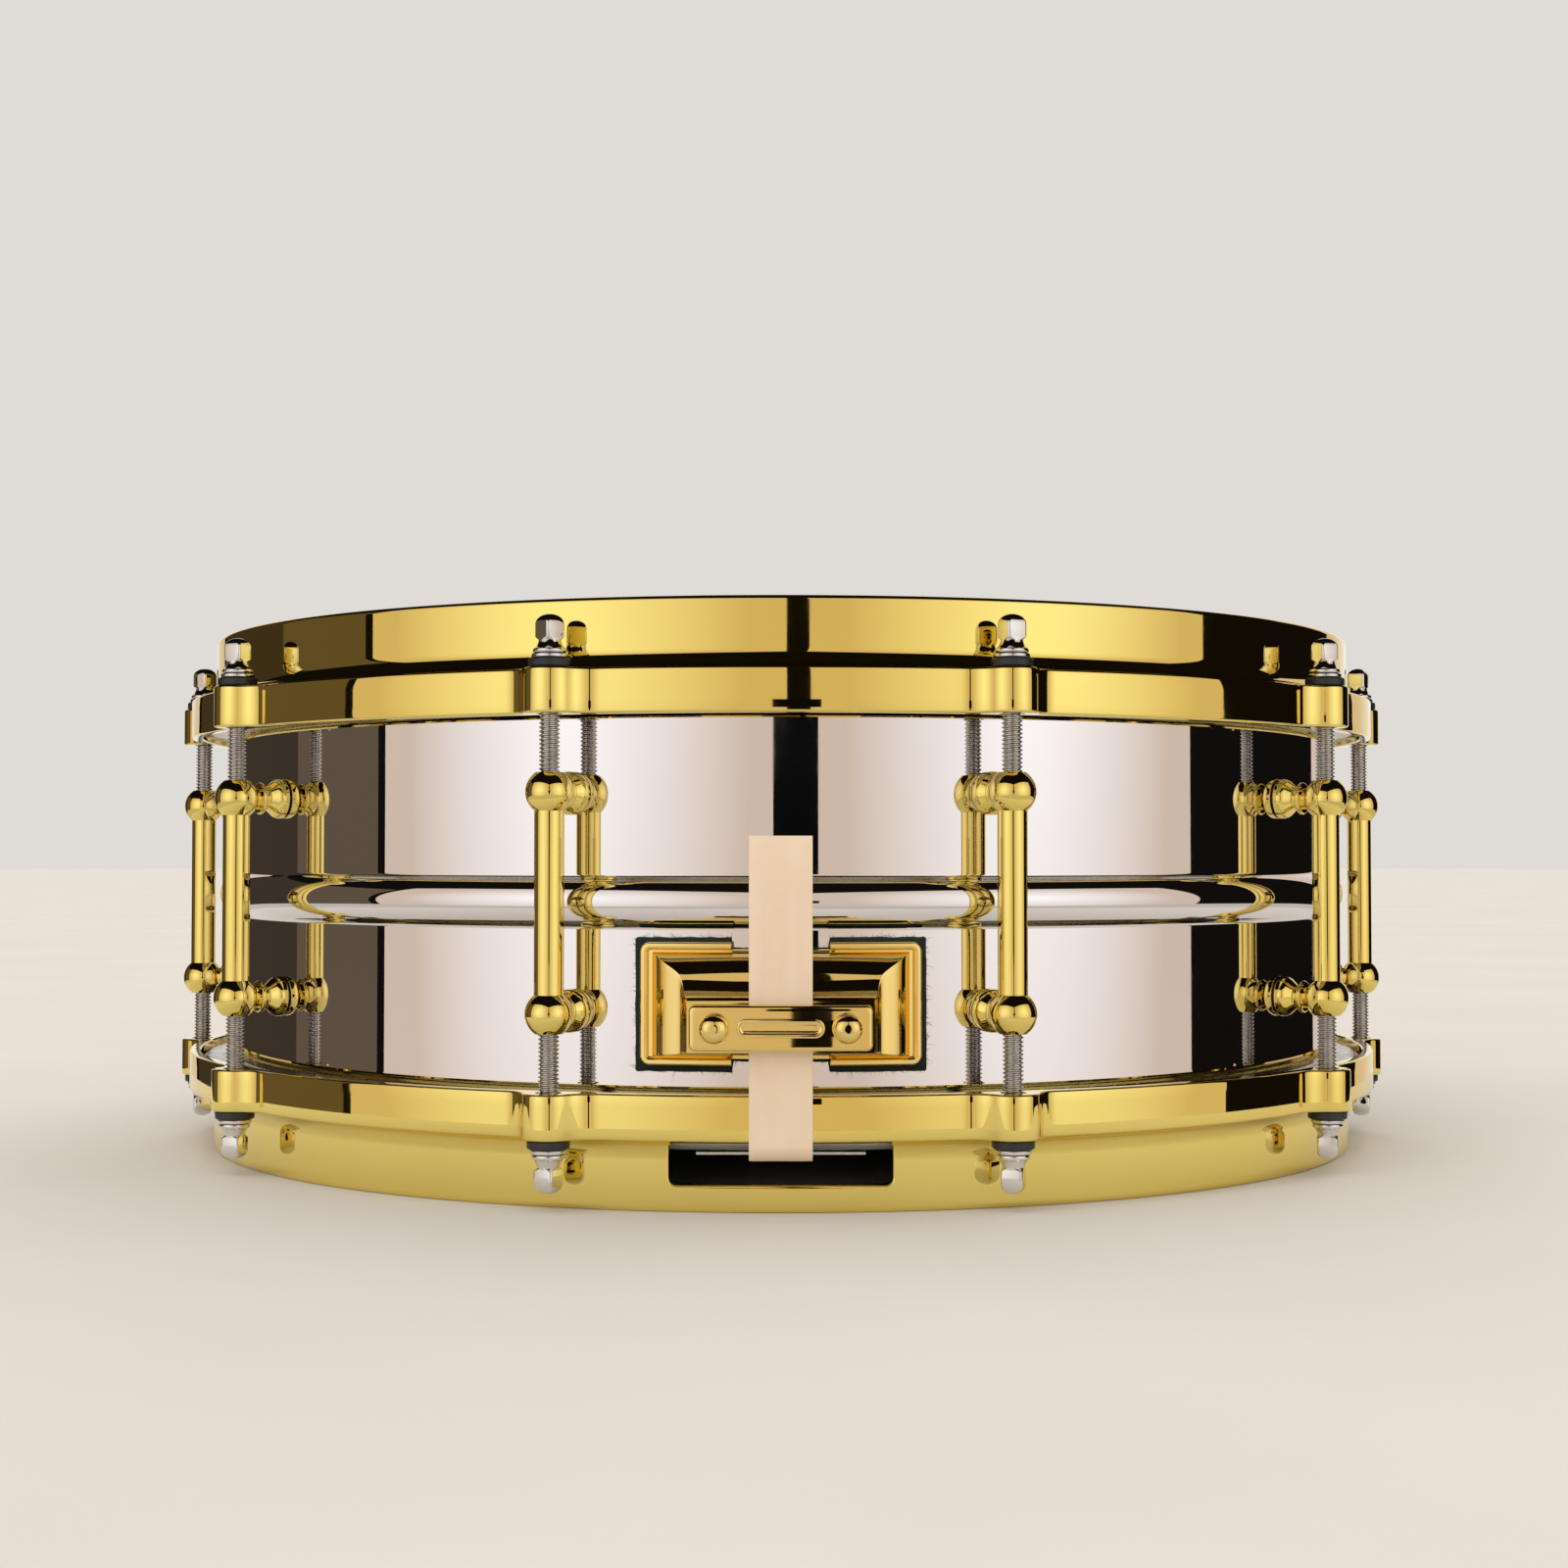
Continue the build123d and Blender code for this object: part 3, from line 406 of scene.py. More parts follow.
def drill(steps, sides=40):
    """A closed stepped cylinder on the Z axis, for cutting. The steps are (radius, height)."""
    return stacked([[(x, y, z) for x, y in circle(r, sides)] for r, z in steps])


def cutter(name, points, faces):
    """A closed solid that cut() takes out of a piece and then removes."""
    mesh = bpy.data.meshes.new(name)
    mesh.from_pydata(place(points), [], faces)
    obj = bpy.data.objects.new(name, mesh)
    scene.collection.objects.link(obj)
    obj.hide_render = True
    return obj


SHELL_SEGMENTS = 500
VENT_R, VENT_ANGLE, VENT_HEIGHT = 6.2, 144, 31.0
outer_skin, inner_skin = shell_skin(0.0), shell_skin(SHEET)
shell_points, shell_faces = lathe(outer_skin + inner_skin[::-1], SHELL_SEGMENTS)
shell = piece(
    "shell_body", shell_points, shell_faces, [finish["chrome_shell"]], "root", ["shell"], "chrome_shell"
)
vent_points, vent_faces = drill([(VENT_R, 170), (VENT_R, 184)])
vent_points = [turned((x, -z, y + VENT_HEIGHT), VENT_ANGLE) for x, y, z in vent_points]
cut(shell, [cutter("vent_cutter", vent_points, [tuple(reversed(f)) for f in vent_faces])])
true_normals(shell, (SHELL_R, SHELL_R - SHEET))


# ---- Die-cast hoops ----
EAR_CENTRE, EAR_R, EAR_BLEND = 190.6, 6.9, 8.5
EAR_HALF_SHARE = math.radians(18)
SKIRT_R, SKIRT_IN, SKIRT_FOOT, SKIRT_EDGE = 189.5, 186.0, 48.2, 0.7
LEDGE_R, LEDGE_Z, LEDGE_RISE = 188.6, 60.0, 0.2
WALL_R, BORE_R, WALL_FILLET = 182.0, 178.2, 5.3
RIM_Z, RIM_ROUND = 77.5, 1.2


def facing_out(radius, angle, x=0.0, out=0.0):
    """A place on a circle seen from above, as (x, out, normal x, normal out)."""
    s, c = math.sin(angle), math.cos(angle)
    return (x + radius * s, out + radius * c, s, c)


def hoop_plan():
    """The skirt's outline over one ear's share of the hoop, as (x, out, normal x, normal out)."""
    blend_out = (EAR_CENTRE**2 + (SKIRT_R + EAR_BLEND) ** 2 - (EAR_R + EAR_BLEND) ** 2) / (2 * EAR_CENTRE)
    blend_x = math.sqrt((SKIRT_R + EAR_BLEND) ** 2 - blend_out**2)
    foot = math.atan2(blend_x, blend_out)
    shoulder = math.atan2(blend_x, blend_out - EAR_CENTRE)
    right = [facing_out(EAR_R, shoulder * n / 14, 0.0, EAR_CENTRE) for n in range(15)]
    for n in range(1, 12):
        right.append(facing_out(-EAR_BLEND, shoulder + (foot - shoulder) * n / 11, blend_x, blend_out))
    right += [facing_out(SKIRT_R, foot + (EAR_HALF_SHARE - foot) * n / 18) for n in range(1, 18)]
    left = [(-x, out, -nx, no) for x, out, nx, no in reversed(right[1:])]
    return left + right + [facing_out(SKIRT_R, EAR_HALF_SHARE)]


def hoop_columns():
    """The hoop's points and faces. Its section is the same all round, but the skirt swells into the ears."""
    edge, quarter = SKIRT_EDGE, [math.radians(22.5 * n) for n in range(5)]
    upright = LEDGE_Z - SKIRT_FOOT - 2 * edge
    skirt = [(edge * (1 - math.sin(a)), SKIRT_FOOT + edge * (1 - math.cos(a))) for a in quarter]
    skirt += [(0, SKIRT_FOOT + edge + upright * n / 4) for n in range(1, 5)]
    skirt += [(edge * (1 - math.cos(a)), LEDGE_Z - edge + edge * math.sin(a)) for a in quarter[1:]]
    slope = math.atan2(LEDGE_RISE, LEDGE_R - WALL_R)
    fillet_z = LEDGE_Z + LEDGE_RISE + WALL_FILLET * (1 / math.cos(slope) - math.tan(slope))
    section = [(LEDGE_R, LEDGE_Z)]
    section += arc((WALL_R + WALL_FILLET, fillet_z), WALL_FILLET, 270 - math.degrees(slope), 180, 16)
    section += [(WALL_R, z) for z in (67.5, 70.0, 72.5, 75.0)]
    section += arc((WALL_R - RIM_ROUND, RIM_Z), RIM_ROUND, 0, 90, 7)
    section += arc((BORE_R + RIM_ROUND, RIM_Z), RIM_ROUND, 90, 180, 7)
    section += [(BORE_R, z) for z in (74.0, 70.0, 66.0, 61.0)]
    section += [(BORE_R, 57.0), (179.5, 57.0), (185.0, 57.0), (SKIRT_IN, 56.0)]
    section += [(SKIRT_IN, 52.0), (SKIRT_IN, 48.6), (186.4, SKIRT_FOOT)]
    points, plan = [], hoop_plan()
    for number in range(10):
        for x, out, nx, no in plan:
            angle = math.atan2(x, out)
            column = [(x - nx * d, out - no * d, z) for d, z in skirt]
            column += [(r * math.sin(angle), r * math.cos(angle), z) for r, z in section]
            points += [turned((x2, -o2, z), 36 * number + 18) for x2, o2, z in column]
    return points, grid_faces(10 * len(plan), len(skirt) + len(section), True, True)


GATE_HALF, GATE_TOP, GATE_FOOT, GATE_CORNER = 28.45, -60.8, -71.8, 1.8
# How far the gate has opened out at each radius.
GATE_MOUTH = [(172.2, 0), (181.1, 0), (181.45, 0.05), (181.75, 0.18), (181.93, 0.38)]
GATE_MOUTH += [(182.05, 0.65), (189.5, 0.65)]


def gate_shape():
    """The strap's gate as a solid for cutting, with a mouth that rounds over the rim wall's outer face."""
    rings = []
    for radius, flare in GATE_MOUTH:
        half, low, corner = GATE_HALF + flare, GATE_FOOT - flare, GATE_CORNER + flare
        corners = ((half, GATE_TOP), (-half, GATE_TOP), (-half, low), (half, low))
        outline = []
        for quarter, (x, z) in enumerate(corners):
            centre = (x - math.copysign(corner, x), z + (corner if z == low else -corner))
            outline += arc(centre, corner, 90 * quarter, 90 * quarter + 90, 6)
        rings.append([(x, -math.sqrt(radius**2 - x**2), z) for x, z in outline])
    return stacked(rings)


HOLE_R, SPOT_FACE_R, SPOT_FACE_Z = 3.4, 5.9, 60.02

hoop_points, hoop_faces = hoop_columns()
for side, flip in (("batter", 1), ("snare", -1)):
    points = [(flip * x, y, flip * z) for x, y, z in hoop_points]
    node = f"{side}_hoop"
    hoop = piece(f"{node}_cast", points, hoop_faces, [finish["gold_hoops"]], "root", [node], "gold_hoops")
    cutters = []
    for angle in LUG_ANGLES:
        hole_points, hole_faces = drill(
            [(HOLE_R, 40), (HOLE_R, SPOT_FACE_Z), (SPOT_FACE_R, SPOT_FACE_Z), (SPOT_FACE_R, 67)]
        )
        spun = [turned((flip * x, y - ROD_CIRCLE, flip * z), angle) for x, y, z in hole_points]
        cutters.append(cutter("hole", spun, hole_faces))
    if side == "snare":
        for angle in (0, 180):
            gate_points, gate_faces = gate_shape()
            cutters.append(cutter("gate", [turned(p, angle) for p in gate_points], gate_faces))
    cut(hoop, cutters)
    true_normals(hoop, (WALL_R, BORE_R))


# ---- Heads ----
def film_shape(thickness, sign):
    """A film that lies on the bearing edge and bends down outside the shell."""
    edge, flat, bend, waist, foot = SHELL_R + 0.05, 63.55, 3.05, 56.0, 51.5
    lower = [(r, flat) for r in (0, 40, 80, 120, 150, 165)]
    inner = lower + arc((edge - bend, flat - bend), bend, 90, 0, 10) + [(edge, waist), (edge, foot)]
    outer = [(edge + thickness, foot), (edge + thickness, waist)]
    outer += arc((edge - bend, flat - bend), bend + thickness, 0, 90, 10)
    outer += [(r, flat + thickness) for r, _ in reversed(lower)]
    return lathe([(r, sign * z) for r, z in inner + outer], 240)


for side, sign, thickness in (("batter", 1, 0.25), ("snare", -1, 0.15)):
    slot = "coated_film" if side == "batter" else "clear_film"
    shape = film_shape(thickness, sign)
    film = piece(f"{side}_head", *shape, [finish[slot]], "root", [f"{side}_head_film"], slot)
    # The lathe leaves a ring of points on the axis; these become one.
    close = bmesh.new()
    close.from_mesh(film.data)
    bmesh.ops.remove_doubles(close, verts=close.verts, dist=0.00001)
    bmesh.ops.delete(close, geom=[e for e in close.edges if not e.link_faces], context="EDGES")
    bmesh.ops.recalc_face_normals(close, faces=close.faces)
    close.to_mesh(film.data)
    close.free()


# ---- Tension rods: rolled thread, collar, square head with a domed end ----
THREAD_PITCH = 25.4 / 24
THREAD = [2.12, 2.12, 2.44, 2.68, 2.68, 2.40]
THREAD_TURNS, THREAD_STEPS = 43, 20
ROD_TIP = 18.0
COLLAR_FOOT, COLLAR_TOP, COLLAR_R = 63.7, 64.9, 4.35
HEAD_TOP, HEAD_HALF, HEAD_CORNER, HEAD_DOME = 73.7, 2.85, 0.75, 2.4
HEAD_STEPS = 48
ROD_SHARP = 40


def rounded_square(half, corner, count):
    """Points round a square with rounded corners."""
    points = []
    corner = min(corner, half * 0.98)
    for n in range(count):
        quarter, step = divmod(n, count // 4)
        a = math.radians(90) * (step + 0.5) / (count // 4)
        x, y = half - corner + corner * math.cos(a), half - corner + corner * math.sin(a)
        for _ in range(quarter):
            x, y = -y, x
        points.append((x, y))
    return points


def rod_shape():
    """Points and faces of one rod at the drum's axis, head up, and a material number for each face."""
    points, faces = helix(THREAD, THREAD_PITCH, ROD_TIP, THREAD_TURNS, THREAD_STEPS)
    marks = [0] * len(faces)
    # Each ring is its half width, its corner radius (none if it is round) and its height.
    rings = [(2.0, None, COLLAR_FOOT), (3.9, None, COLLAR_FOOT), (4.2, None, COLLAR_FOOT + 0.12)]
    rings += [(COLLAR_R, None, COLLAR_FOOT + 0.4), (COLLAR_R, None, COLLAR_TOP - 0.4)]
    for r, rise in ((4.2, -0.1), (3.85, 0.05), (3.35, 0.7), (3.05, 1.4), (2.85, 2.1)):
        rings.append((r, None, COLLAR_TOP + rise))
    rings.append((HEAD_HALF, HEAD_CORNER, COLLAR_TOP + 2.9))
    rings.append((HEAD_HALF, HEAD_CORNER, HEAD_TOP - HEAD_DOME))
    for n in range(1, 10):
        a = math.radians(10 * n)
        top = HEAD_TOP - HEAD_DOME * (1 - math.sin(a))
        rings.append((HEAD_HALF - HEAD_DOME * (1 - math.cos(a)), HEAD_CORNER + 0.4 * math.sin(a), top))
    start = len(points)
    for half, corner, z in rings:
        flat = circle(half, HEAD_STEPS, 0.5) if corner is None else rounded_square(half, corner, HEAD_STEPS)
        points += [(x, y, z) for x, y in flat]
    head_faces = grid_faces(len(rings), HEAD_STEPS, True, False, start)
    head_faces.append(tuple(start + n for n in reversed(range(HEAD_STEPS))))
    head_faces.append(tuple(start + (len(rings) - 1) * HEAD_STEPS + n for n in range(HEAD_STEPS)))
    return points, faces + head_faces, marks + [1] * len(head_faces)


rng = random.Random(14)
rod_points, rod_faces, rod_marks = rod_shape()
for side in ("batter", "snare"):
    for number, angle in enumerate(LUG_ANGLES, start=1):
        twist = math.radians(rng.uniform(0, 90))
        c, s = math.cos(twist), math.sin(twist)
        flip = 1 if side == "batter" else -1
        spun = [(flip * (x * c - y * s), x * s + y * c - ROD_CIRCLE, flip * z) for x, y, z in rod_points]
        piece(
            f"rod_{side}_{number:02d}",
            [turned(p, angle) for p in spun],
            rod_faces,
            [finish["rod_steel"], head_chrome],
            f"tension_rod_{side}_{number:02d}",
            [f"tension_rod_{side}_{number:02d}"],
            "rod_steel",
            ROD_SHARP,
            rod_marks,
        )


# ---- Butt plate, its felt, and the strap clamps ----
NOTCH_HALF = 12.5
NOTCH_DEPTH, NOTCH_FLOOR = 1.8, 179.6
FITTING_SHARP = 50


def side_positions(half):
    """Places along a long side, kept in step round the notch and the strap whatever the side's length."""
    fixed = [12.7, 12.3, 8.7, 8.5, 4.2, 0.0]
    far = [half - (half - 12.7) * n / 9 for n in range(9)]
    right = far + fixed
    return [-x for x in right] + [x for x in reversed(right[:-1])]


def rounded_ring(half_x, low, high, corner, depth):
    """A rounded rectangle seen from the front. depth(x, z, low, high) gives its point at each place."""
    outline = []
    across = side_positions(half_x - corner)
    up = [low + corner + (high - low - 2 * corner) * n / 10 for n in range(11)]
    corners = [(half_x - corner, low + corner, 270), (half_x - corner, high - corner, 0)]
    corners += [(-half_x + corner, high - corner, 90), (-half_x + corner, low + corner, 180)]
    sides = [[(x, low) for x in across], [(half_x, z) for z in up]]
    sides += [[(x, high) for x in reversed(across)], [(-half_x, z) for z in reversed(up)]]
    for side, (cx, cz, start) in zip(sides, corners):
        outline += side
        outline += arc((cx, cz), corner, start, start + 90, 6)[1:-1]
    return [depth(x, z, low, high) for x, z in outline]


def on_drum(radius, flat=0.0):
    """Depth that follows the drum's curve at this radius, or is partly (flat, 0 to 1) a plane."""
    def depth(x, z, low, high):
        return (x, -((1 - flat) * math.sqrt(radius**2 - x**2) + flat * radius), z)
    return depth


def lip_depth(radius, inset):
    """As on_drum, but dropped and drawn in where the plate's edge is notched."""
    def depth(x, z, low, high):
        r = radius
        if abs(x) < NOTCH_HALF and min(z - low, high - z) < 0.01:
            r = min(radius, NOTCH_FLOOR)
            shift = NOTCH_DEPTH - inset * 0.85
            z = z + shift if z - low < 0.01 else z - shift
        return (x, -math.sqrt(r**2 - x**2), z)
    return depth


PLATE_HALF, PLATE_LOW, PLATE_HIGH, PLATE_CORNER = 36.1, -41.6, -10.1, 2.5
# The plate's edge, as (inset, radius), then its rise to the clamp, as (half width, low, high, out).
PLATE_EDGE = [(0, 178.5), (0, 180.6), (0.1, 180.95), (0.32, 181.15), (0.6, 181.2), (1.2, 181.2)]
PLATE_EDGE += [(1.5, 181.12), (1.72, 180.9), (1.85, 180.5), (1.95, 180.0), (2.15, 179.75)]
PLATE_RISE = [
    (33.0, -39.4, -12.6, 179.8), (32.5, -39.2, -13.0, 180.9), (31.3, -38.9, -14.0, 182.4),
    (29.6, -38.7, -15.3, 183.6), (27.6, -38.5, -16.7, 184.4), (26.1, -38.3, -18.0, 184.9),
    (25.3, -38.1, -19.6, 185.3), (24.8, -38.0, -21.2, 186.0), (24.4, -37.8, -22.5, 187.1),
    (24.0, -37.6, -23.6, 188.6), (23.6, -37.4, -24.4, 190.6),
]


def smooth_step(before, a, b, after, t):
    """A place on the smooth curve from a (t = 0) to b (t = 1)."""
    return [
        0.5 * (2 * q + (r - p) * t + (2 * p - 5 * q + 4 * r - s) * t**2 + (3 * q - p - 3 * r + s) * t**3)
        for p, q, r, s in zip(before, a, b, after)
    ]


def butt_plate_shape():
    """The plate with its notched edge and the swelling that carries the clamp."""
    rings = [rounded_ring(20, -38, -20, 2, on_drum(178.5))]
    for inset, radius in PLATE_EDGE:
        half, low, high = PLATE_HALF - inset, PLATE_LOW + inset, PLATE_HIGH - inset
        rings.append(rounded_ring(half, low, high, max(PLATE_CORNER - inset, 0.5), lip_depth(radius, inset)))
    fine, last = [], len(PLATE_RISE) - 1
    for n in range(last):
        before, after = PLATE_RISE[max(n - 1, 0)], PLATE_RISE[min(n + 2, last)]
        fine += [smooth_step(before, PLATE_RISE[n], PLATE_RISE[n + 1], after, step / 4) for step in range(4)]
    fine.append(PLATE_RISE[-1])
    for n, (half, low, high, out) in enumerate(fine):
        rings.append(rounded_ring(half, low, high, 0.25, on_drum(out, n / (len(fine) - 1))))
    return stacked(rings)


piece(
    "butt_plate_body",
    *butt_plate_shape(),
    [finish["gold_fittings"]],
    "root",
    ["butt_plate"],
    "gold_fittings",
    FITTING_SHARP,
)

CLAMP_HALF, CLAMP_TALL, CLAMP_CORNER = 22.95, 5.75, 1.6
CLAMP_EDGE, CLAMP_ROUND = 194.9, 0.9
STRAP_SLOT_HALF = 8.6
# The raised lozenge's edge, as (inset, level).
LOZENGE = [(0, 195.5), (0, 196.0), (0.1, 196.12), (0.3, 196.18), (0.8, 196.18), (1.0, 196.1)]
LOZENGE += [(1.15, 195.95), (1.5, 195.93)]


def crowned(level, x):
    """How far out the clamp bar's crowned front is."""
    return level + 0.3 - x**2 / 760


def stadium_ring(half_x, half_z, level, centre, count=16):
    """A ring with round ends on the clamp bar's crowned front."""
    end = half_x - half_z
    points = []
    for sx, start in ((1, -90), (-1, 90)):
        for n in range(count + 1):
            a = math.radians(start + 180 * n / count)
            x = sx * end + half_z * math.cos(a)
            points.append((x, -crowned(level, x), centre + half_z * math.sin(a)))
    return points


def clamp_points(centre):
    """The clamp bar about this height, with its raised lozenge."""
    def behind(x, z, low, high):
        return (x, -(191.35 if abs(x) < STRAP_SLOT_HALF else 190.65), z + centre)

    def ring(inset, corner, level):
        def depth(x, z, low, high):
            return (x, -crowned(level, x), z + centre)
        return rounded_ring(CLAMP_HALF - inset, -CLAMP_TALL + inset, CLAMP_TALL - inset, corner, depth)

    rings = [rounded_ring(CLAMP_HALF, -CLAMP_TALL, CLAMP_TALL, CLAMP_CORNER, behind)]
    rings.append(ring(0, CLAMP_CORNER, CLAMP_EDGE))
    for n in range(1, 6):
        a = math.radians(18 * n)
        inset = CLAMP_ROUND * (1 - math.cos(a))
        rings.append(ring(inset, CLAMP_CORNER - inset * 0.6, CLAMP_EDGE + CLAMP_ROUND * math.sin(a)))
    for inset in (1.6, 2.6, 3.6, 4.6):
        rings.append(ring(inset, 0.9, CLAMP_EDGE + CLAMP_ROUND))
    points, faces = stacked(rings)
    lozenge = [stadium_ring(11.0 - inset, 2.4 - inset, level, centre) for inset, level in LOZENGE]
    more, more_faces = stacked(lozenge)
    start = len(points)
    return points + more, faces + [tuple(start + n for n in face) for face in more_faces]


for name, centre, body, node, back in (
    ("butt_clamp", -30.9, "root", "butt_clamp_bar", False),
    ("throw_clamp", -34.75, "jaw", "throw_clamp_bar", True),
):
    points, faces = clamp_points(centre)
    if back:
        points = [(-x, -y, z) for x, y, z in points]
    gold = [finish["gold_fittings"]]
    piece(f"{name}_strap_bar", points, faces, gold, body, [node], "gold_fittings", FITTING_SHARP)


FELT_HALF, FELT_LOW, FELT_HIGH, FELT_NOTCH = 37.4, -43.3, -9.0, 2.7
# The felt's edge, as (inset, radius).
FELT_EDGE = [(0.35, 177.05), (0, 177.3), (-0.05, 177.8), (0.05, 178.2), (0.4, 178.5), (2.4, 178.5)]


def felt_shape():
    """Punched felt with a slightly torn edge."""
    jitter = random.Random(5)

    def torn(radius):
        def depth(x, z, low, high):
            if abs(x) < NOTCH_HALF and min(z - low, high - z) < 0.01:
                z = z + FELT_NOTCH if z - low < 0.01 else z - FELT_NOTCH
            x += jitter.uniform(-0.12, 0.12)
            z += jitter.uniform(-0.16, 0.16)
            return (x, -math.sqrt((radius + jitter.uniform(-0.06, 0.0)) ** 2 - x**2), z)
        return depth

    rings = [rounded_ring(20, -38, -15, 2, on_drum(SHELL_R))]
    for inset, radius in FELT_EDGE:
        half, low, high = FELT_HALF - inset, FELT_LOW + inset, FELT_HIGH - inset
        rings.append(rounded_ring(half, low, high, 0.6, torn(radius)))
    rings.append(rounded_ring(20, -38, -15, 2, on_drum(178.4)))
    return stacked(rings)


def felt_fibres(count=620):
    """Loose fibres that stand out of the felt's edge as fine bent tubes."""
    rng = random.Random(8)
    points, faces = [], []
    for _ in range(count):
        x, z = rng.uniform(-37.2, 37.2), rng.choice((-43.2, -9.1))
        out_x, out_z = rng.gauss(0, 0.5), (1 if z > -20 else -1)
        if abs(x) < NOTCH_HALF:
            z += FELT_NOTCH if z < -20 else -FELT_NOTCH
        if rng.random() < 0.4:
            x, z = rng.choice((-37.3, 37.3)), rng.uniform(-43, -9.4)
            out_x, out_z = (1 if x > 0 else -1), rng.gauss(0, 0.5)
        length = rng.uniform(0.25, 0.9) if rng.random() < 0.85 else rng.uniform(0.9, 2.0)
        radius = 177.2 + rng.uniform(0, 1.1)
        bend = rng.uniform(-0.8, 0.8)
        lift = rng.uniform(-0.1, 0.35)
        thick = rng.uniform(0.025, 0.05)
        start = len(points)
        for step in range(4):
            t = step / 3
            cx = x + length * (out_x * t - out_z * bend * t * t)
            cz = z + length * (out_z * t + out_x * bend * t * t)
            r = max(radius + lift * t, 177.06)
            width = thick * (1 - 0.7 * t)
            for corner in range(3):
                a = 2 * math.pi * corner / 3
                px = cx + width * math.cos(a)
                out = math.sqrt(r**2 - px**2) + width * math.sin(a)
                points.append((px, -out, cz + width * math.sin(a + 1)))
        for step in range(3):
            for corner in range(3):
                a, b = start + 3 * step + corner, start + 3 * step + (corner + 1) % 3
                faces.append((a, b, b + 3, a + 3))
        faces += [(start + 2, start + 1, start), (start + 9, start + 10, start + 11)]
    return points, faces


piece("butt_felt_pad", *felt_shape(), [finish["felt"]], "root", ["butt_felt"], "felt", 60)
piece("butt_felt_fibres", *felt_fibres(), [finish["felt"]], "root", [], "felt", 180)


# ---- Snare wires: twenty close-wound coils ----
WIRES, WIRE_SPACING, WIRE_HEIGHT = 20, 2.1, -64.95
COIL, COIL_PITCH, COIL_START, COIL_TURNS, COIL_STEPS = [0.62, 0.95, 0.95], 1.5, -149.8, 199, 7
COIL_SHARP = 60


def snare_coils():
    """The coils side by side along Y."""
    points, faces = [], []
    coil, coil_faces = helix(COIL, COIL_PITCH, COIL_START, COIL_TURNS, COIL_STEPS)
    for number in range(WIRES):
        x0 = WIRE_SPACING * (number - (WIRES - 1) / 2)
        start = len(points)
        points += [(x0 + x, z, WIRE_HEIGHT + y) for x, y, z in coil]
        faces += [tuple(start + n for n in reversed(face)) for face in coil_faces]
    return points, faces


piece(
    "snare_wire_coils",
    *snare_coils(),
    [finish["strand_steel"]],
    "snares",
    ["snare_strands"],
    "strand_steel",
    COIL_SHARP,
)


# ---- Straps ----
STRAP_THICK, STRAP_BEND, STRAP_LEVEL, STRAP_END = 0.6, 4.0, -64.5, 156.0
BUTT_STRAP_TOP, THROW_STRAP_TOP = 17.0, -28.6


def strap_path(top):
    """The strap's middle line as (out, height), from its upper end round the bend to its inner end."""
    middle = (STRAP_IN + STRAP_OUT) / 2
    bent = middle - STRAP_BEND
    path = [(middle, top - (top - STRAP_LEVEL - STRAP_BEND) * n / 40) for n in range(41)]
    for n in range(1, 13):
        a = math.radians(90 * n / 12)
        path.append((middle - STRAP_BEND * (1 - math.cos(a)), STRAP_LEVEL + STRAP_BEND * (1 - math.sin(a))))
    path += [(bent - (bent - STRAP_END) * n / 20, STRAP_LEVEL) for n in range(1, 21)]
    return path


def ribbon(path, thick, back=False):
    """A flat strap with slightly rounded edges along the path."""
    edge, near = STRAP_HALF, STRAP_HALF - 0.12
    section = [(-edge, -0.5), (-near, -1), (0, -1), (near, -1), (edge, -0.5)]
    section += [(edge, 0.5), (near, 1), (0, 1), (-near, 1), (-edge, 0.5)]
    points = []
    for n, (out, z) in enumerate(path):
        a, b = path[max(n - 1, 0)], path[min(n + 1, len(path) - 1)]
        d = Vector((b[0] - a[0], b[1] - a[1])).normalized()
        for x, side in section:
            o = out - d.y * side * thick / 2
            h = z + d.x * side * thick / 2
            points.append((x, -o, h))
    if back:
        points = [(-x, -y, z) for x, y, z in points]
    count = len(section)
    faces = grid_faces(len(path), count, True)
    faces.append(tuple(range(count)))
    faces.append(tuple(reversed(range(len(points) - count, len(points)))))
    return points, faces


def strap(name, line, replaced, back=False):
    """A strap piece that rides on no body."""
    shape = ribbon(line, STRAP_THICK, back)
    return piece(name, *shape, [finish["strap_plastic"]], None, replaced, "strap_plastic")


# In metres: the strap bends down with the wires from the gate to the shell's inside.
butt_strap = strap("butt_strap", strap_path(BUTT_STRAP_TOP), ["snare_strap_butt"])
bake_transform(butt_strap)

throw_line = strap_path(THROW_STRAP_TOP)
bend_at = 47
upper = strap("throw_strap_upper", throw_line[:bend_at], ["snare_strap_throw"], True)
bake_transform(upper)
lower = strap("throw_strap_lower", throw_line[bend_at - 1:], [], True)
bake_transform(lower)


# ---- Floor, light and camera ----
def stage_mesh(name, points, faces, material):
    """A mesh that belongs to the studio, with points in metres."""
    mesh = bpy.data.meshes.new(name)
    mesh.from_pydata(points, [], faces)
    mesh.materials.append(material)
    obj = bpy.data.objects.new(name, mesh)
    scene.collection.objects.link(obj)
    return obj


def floor_material():
    """Plain pale floor with a faint cloud."""
    s = Shader("studio_floor", Roughness=0.7, Specular_IOR_Level=0.0)
    s.color(s.blend(s.remap(s.noise(6, 4), 0, 1), (0.70, 0.66, 0.61), (0.73, 0.69, 0.64)))
    return s.material


def annulus(name, inner, outer, height, material):
    """A flat ring round the drum's axis."""
    count = 96
    ring = [(math.sin(2 * math.pi * n / count), math.cos(2 * math.pi * n / count)) for n in range(count)]
    points = [(r * x, r * y, height) for r in (inner, outer) for x, y in ring]
    faces = [(n, (n + 1) % count, count + (n + 1) % count, count + n) for n in range(count)]
    return stage_mesh(name, points, faces, material)


